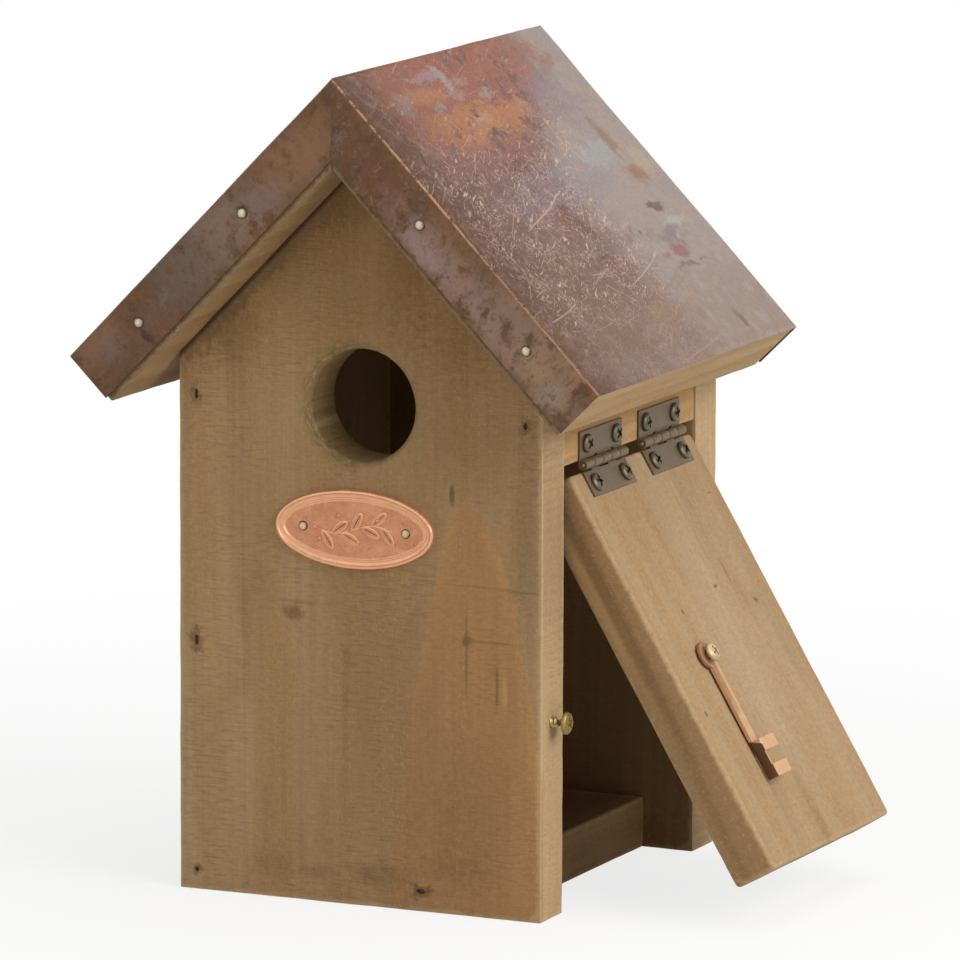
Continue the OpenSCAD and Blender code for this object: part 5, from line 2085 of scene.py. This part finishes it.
    def _bend(self, bench: Bench, turn: tuple[tuple[int, int], tuple[int, int]]) -> None:
        """Extrudes the picked edges round a quarter fold.

        Args:
            bench: The piece in edit mode.
            turn: Direction before and after the fold, each as x and z.
        """
        (x0, z0), (x1, z1) = turn
        last_ahead = last_aside = 0.0
        for angle in map(math.radians, (22.5, 45, 67.5, 90)):
            ahead, aside = self.fold * math.sin(angle), self.fold * (1 - math.cos(angle))
            bench.extrude((x0 * (ahead - last_ahead) + x1 * (aside - last_aside), 0,
                           z0 * (ahead - last_ahead) + z1 * (aside - last_aside)))
            last_ahead, last_aside = ahead, aside

    def _screw(self) -> None:
        """The key's brass screw."""
        screw = Screw(3.0 * MM, 1.7 * MM, 1.55 * MM, 10.8 * MM).build("key_screw_driven")
        place(screw, self.key_place @ Matrix.Translation((0, 0, self.key_t + self.head_clear))
              @ Matrix.Rotation(0.4, 4, "Z"))
        brass = Metal("key_brass", (190, 170, 128), (150, 128, 86), (92, 76, 46), (220, 204, 164), 0.38, 0.6)
        mount(mark_edges(screw, sharp_edges(screw, 60)), brass.build(self.effects), "door", "brass", "key_screw")


@dataclass
class Fastenings(Assembly):
    """The catch screw in the front wall's edge and the sunken brads."""

    stand: float = 4.4 * MM

    def build(self) -> None:
        """Models and dresses the catch screw, and dresses the frame's brads."""
        s = self.sizes
        screw = Screw(3.4 * MM, 1.7 * MM, 1.5 * MM, 21 * MM, 1.3 * MM).build("catch_screw_driven")
        place(screw, facing((s.half_w + self.stand, s.front_y + s.board_t / 2, s.catch_z), (1, 0, 0), 0.5))
        brass = Metal("catch_brass", (158, 134, 76), (120, 100, 52), (66, 52, 28), (196, 172, 110), 0.38, 0.7, 0.7,
                      0.4)
        mount(mark_edges(screw, sharp_edges(screw, 60)), brass.build(self.effects), "house", "brass", "catch_screw")
        steel = Metal("brad_steel", (84, 72, 56), (56, 46, 34), (32, 24, 16), (96, 84, 66), 0.6, 0.4)
        steel = steel.build(self.effects)
        for name in ("front_brads", "back_brads"):
            dress(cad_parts[name], steel)


@dataclass
class Studio:
    """Camera, lights, world and floor."""

    eye: Point = (1.1224, -2.4286, 0.5730)
    azimuth: float = math.radians(24.615)
    elevation: float = math.radians(9.607)
    roll: float = math.radians(0.215)
    lens: float = 332.25
    centre: Point = (0.01, 0.0, 0.12)
    floor_side: float = 12.0
    floor_drop: float = 0.2 * MM

    def build(self) -> None:
        """Sets the studio up."""
        scene = bpy.context.scene
        scene.view_settings.view_transform = "Standard"
        camera = bpy.data.objects.new("camera", bpy.data.cameras.new("camera"))
        scene.collection.objects.link(camera)
        camera.data.lens = self.lens
        camera.data.clip_start, camera.data.clip_end = 0.1, 50
        turn = (Matrix.Rotation(self.azimuth, 4, "Z") @ Matrix.Rotation(math.pi / 2 - self.elevation, 4, "X")
                @ Matrix.Rotation(self.roll, 4, "Z"))
        camera.matrix_world = Matrix.Translation(self.eye) @ turn
        scene.camera = camera
        self._lamp("key_lamp", (1.25, -0.35, 0.85), 0.9, 17.0)
        self._lamp("fill_lamp", (-0.7, -1.5, 0.9), 1.2, 4.0)
        self._lamp("top_lamp", (0.2, 0.2, 1.6), 1.2, 8.0)
        self._world()
        self._floor()

    def _lamp(self, name: str, spot: Point, size: float, power: float) -> None:
        """Adds a soft square lamp that faces the object.

        Args:
            name: The lamp's name.
            spot: Its place.
            size: Its side.
            power: Its power in watts.
        """
        lamp = bpy.data.lights.new(name, "AREA")
        lamp.size, lamp.energy = size, power
        obj = bpy.data.objects.new(name, lamp)
        bpy.context.scene.collection.objects.link(obj)
        aim = Vector(self.centre) - Vector(spot)
        obj.matrix_world = Matrix.Translation(spot) @ aim.to_track_quat("-Z", "Y").to_matrix().to_4x4()

    @staticmethod
    def _seen(g: Graph) -> Value:
        """1 for rays that see the backdrop itself or its reflection, 0 for light."""
        camera, glossy, through = [g.make("ShaderNodeLightPath", out=f"Is {kind} Ray")
                                   for kind in ("Camera", "Glossy", "Transmission")]
        return camera | glossy | through

    def _world(self) -> None:
        """A white backdrop that gives a plain soft light."""
        world = bpy.data.worlds.new("studio")
        bpy.context.scene.world = world
        g = own_nodes(world)
        light, white = [g.make("ShaderNodeBackground", {"Color": WHITE, "Strength": level}) for level in (0.3, 1.0)]
        g.node("ShaderNodeOutputWorld", {0: g.make("ShaderNodeMixShader", {0: self._seen(g), 1: light, 2: white})})

    def _floor(self) -> None:
        """A pale floor that keeps the box's shadow and fades to white."""
        floor = start(bpy.ops.mesh.primitive_plane_add, "floor", size=self.floor_side,
                      location=(0, 0, -self.floor_drop))
        material = bpy.data.materials.new("pale_floor")
        g = own_nodes(material)
        away = g.vector("LENGTH", g.make("ShaderNodeTexCoord", out="Object"))
        pale = g.make("ShaderNodeBsdfDiffuse", {"Color": (238, 237, 234)})
        white = g.make("ShaderNodeEmission", {"Color": WHITE, "Strength": 1.0})
        share = self._seen(g) * away.fit(0.1, 0.55, 0.8, 1)
        g.node("ShaderNodeOutputMaterial", {0: g.make("ShaderNodeMixShader", {0: share, 1: pale, 2: white})})
        floor.data.materials.append(material)


def main() -> None:
    """Sets the studio up, then builds the nest box's sub-assemblies in order."""
    logging.basicConfig(level=logging.INFO, format="%(name)s: %(message)s")
    Studio().build()
    effects = Effects()
    for part in (Walls, Roof, Plaque, Hinges, Door, Fastenings):
        part(SIZES, effects).build()
        LOG.info("%s built", part.__name__.lower())


if __name__ == "__main__":
    main()
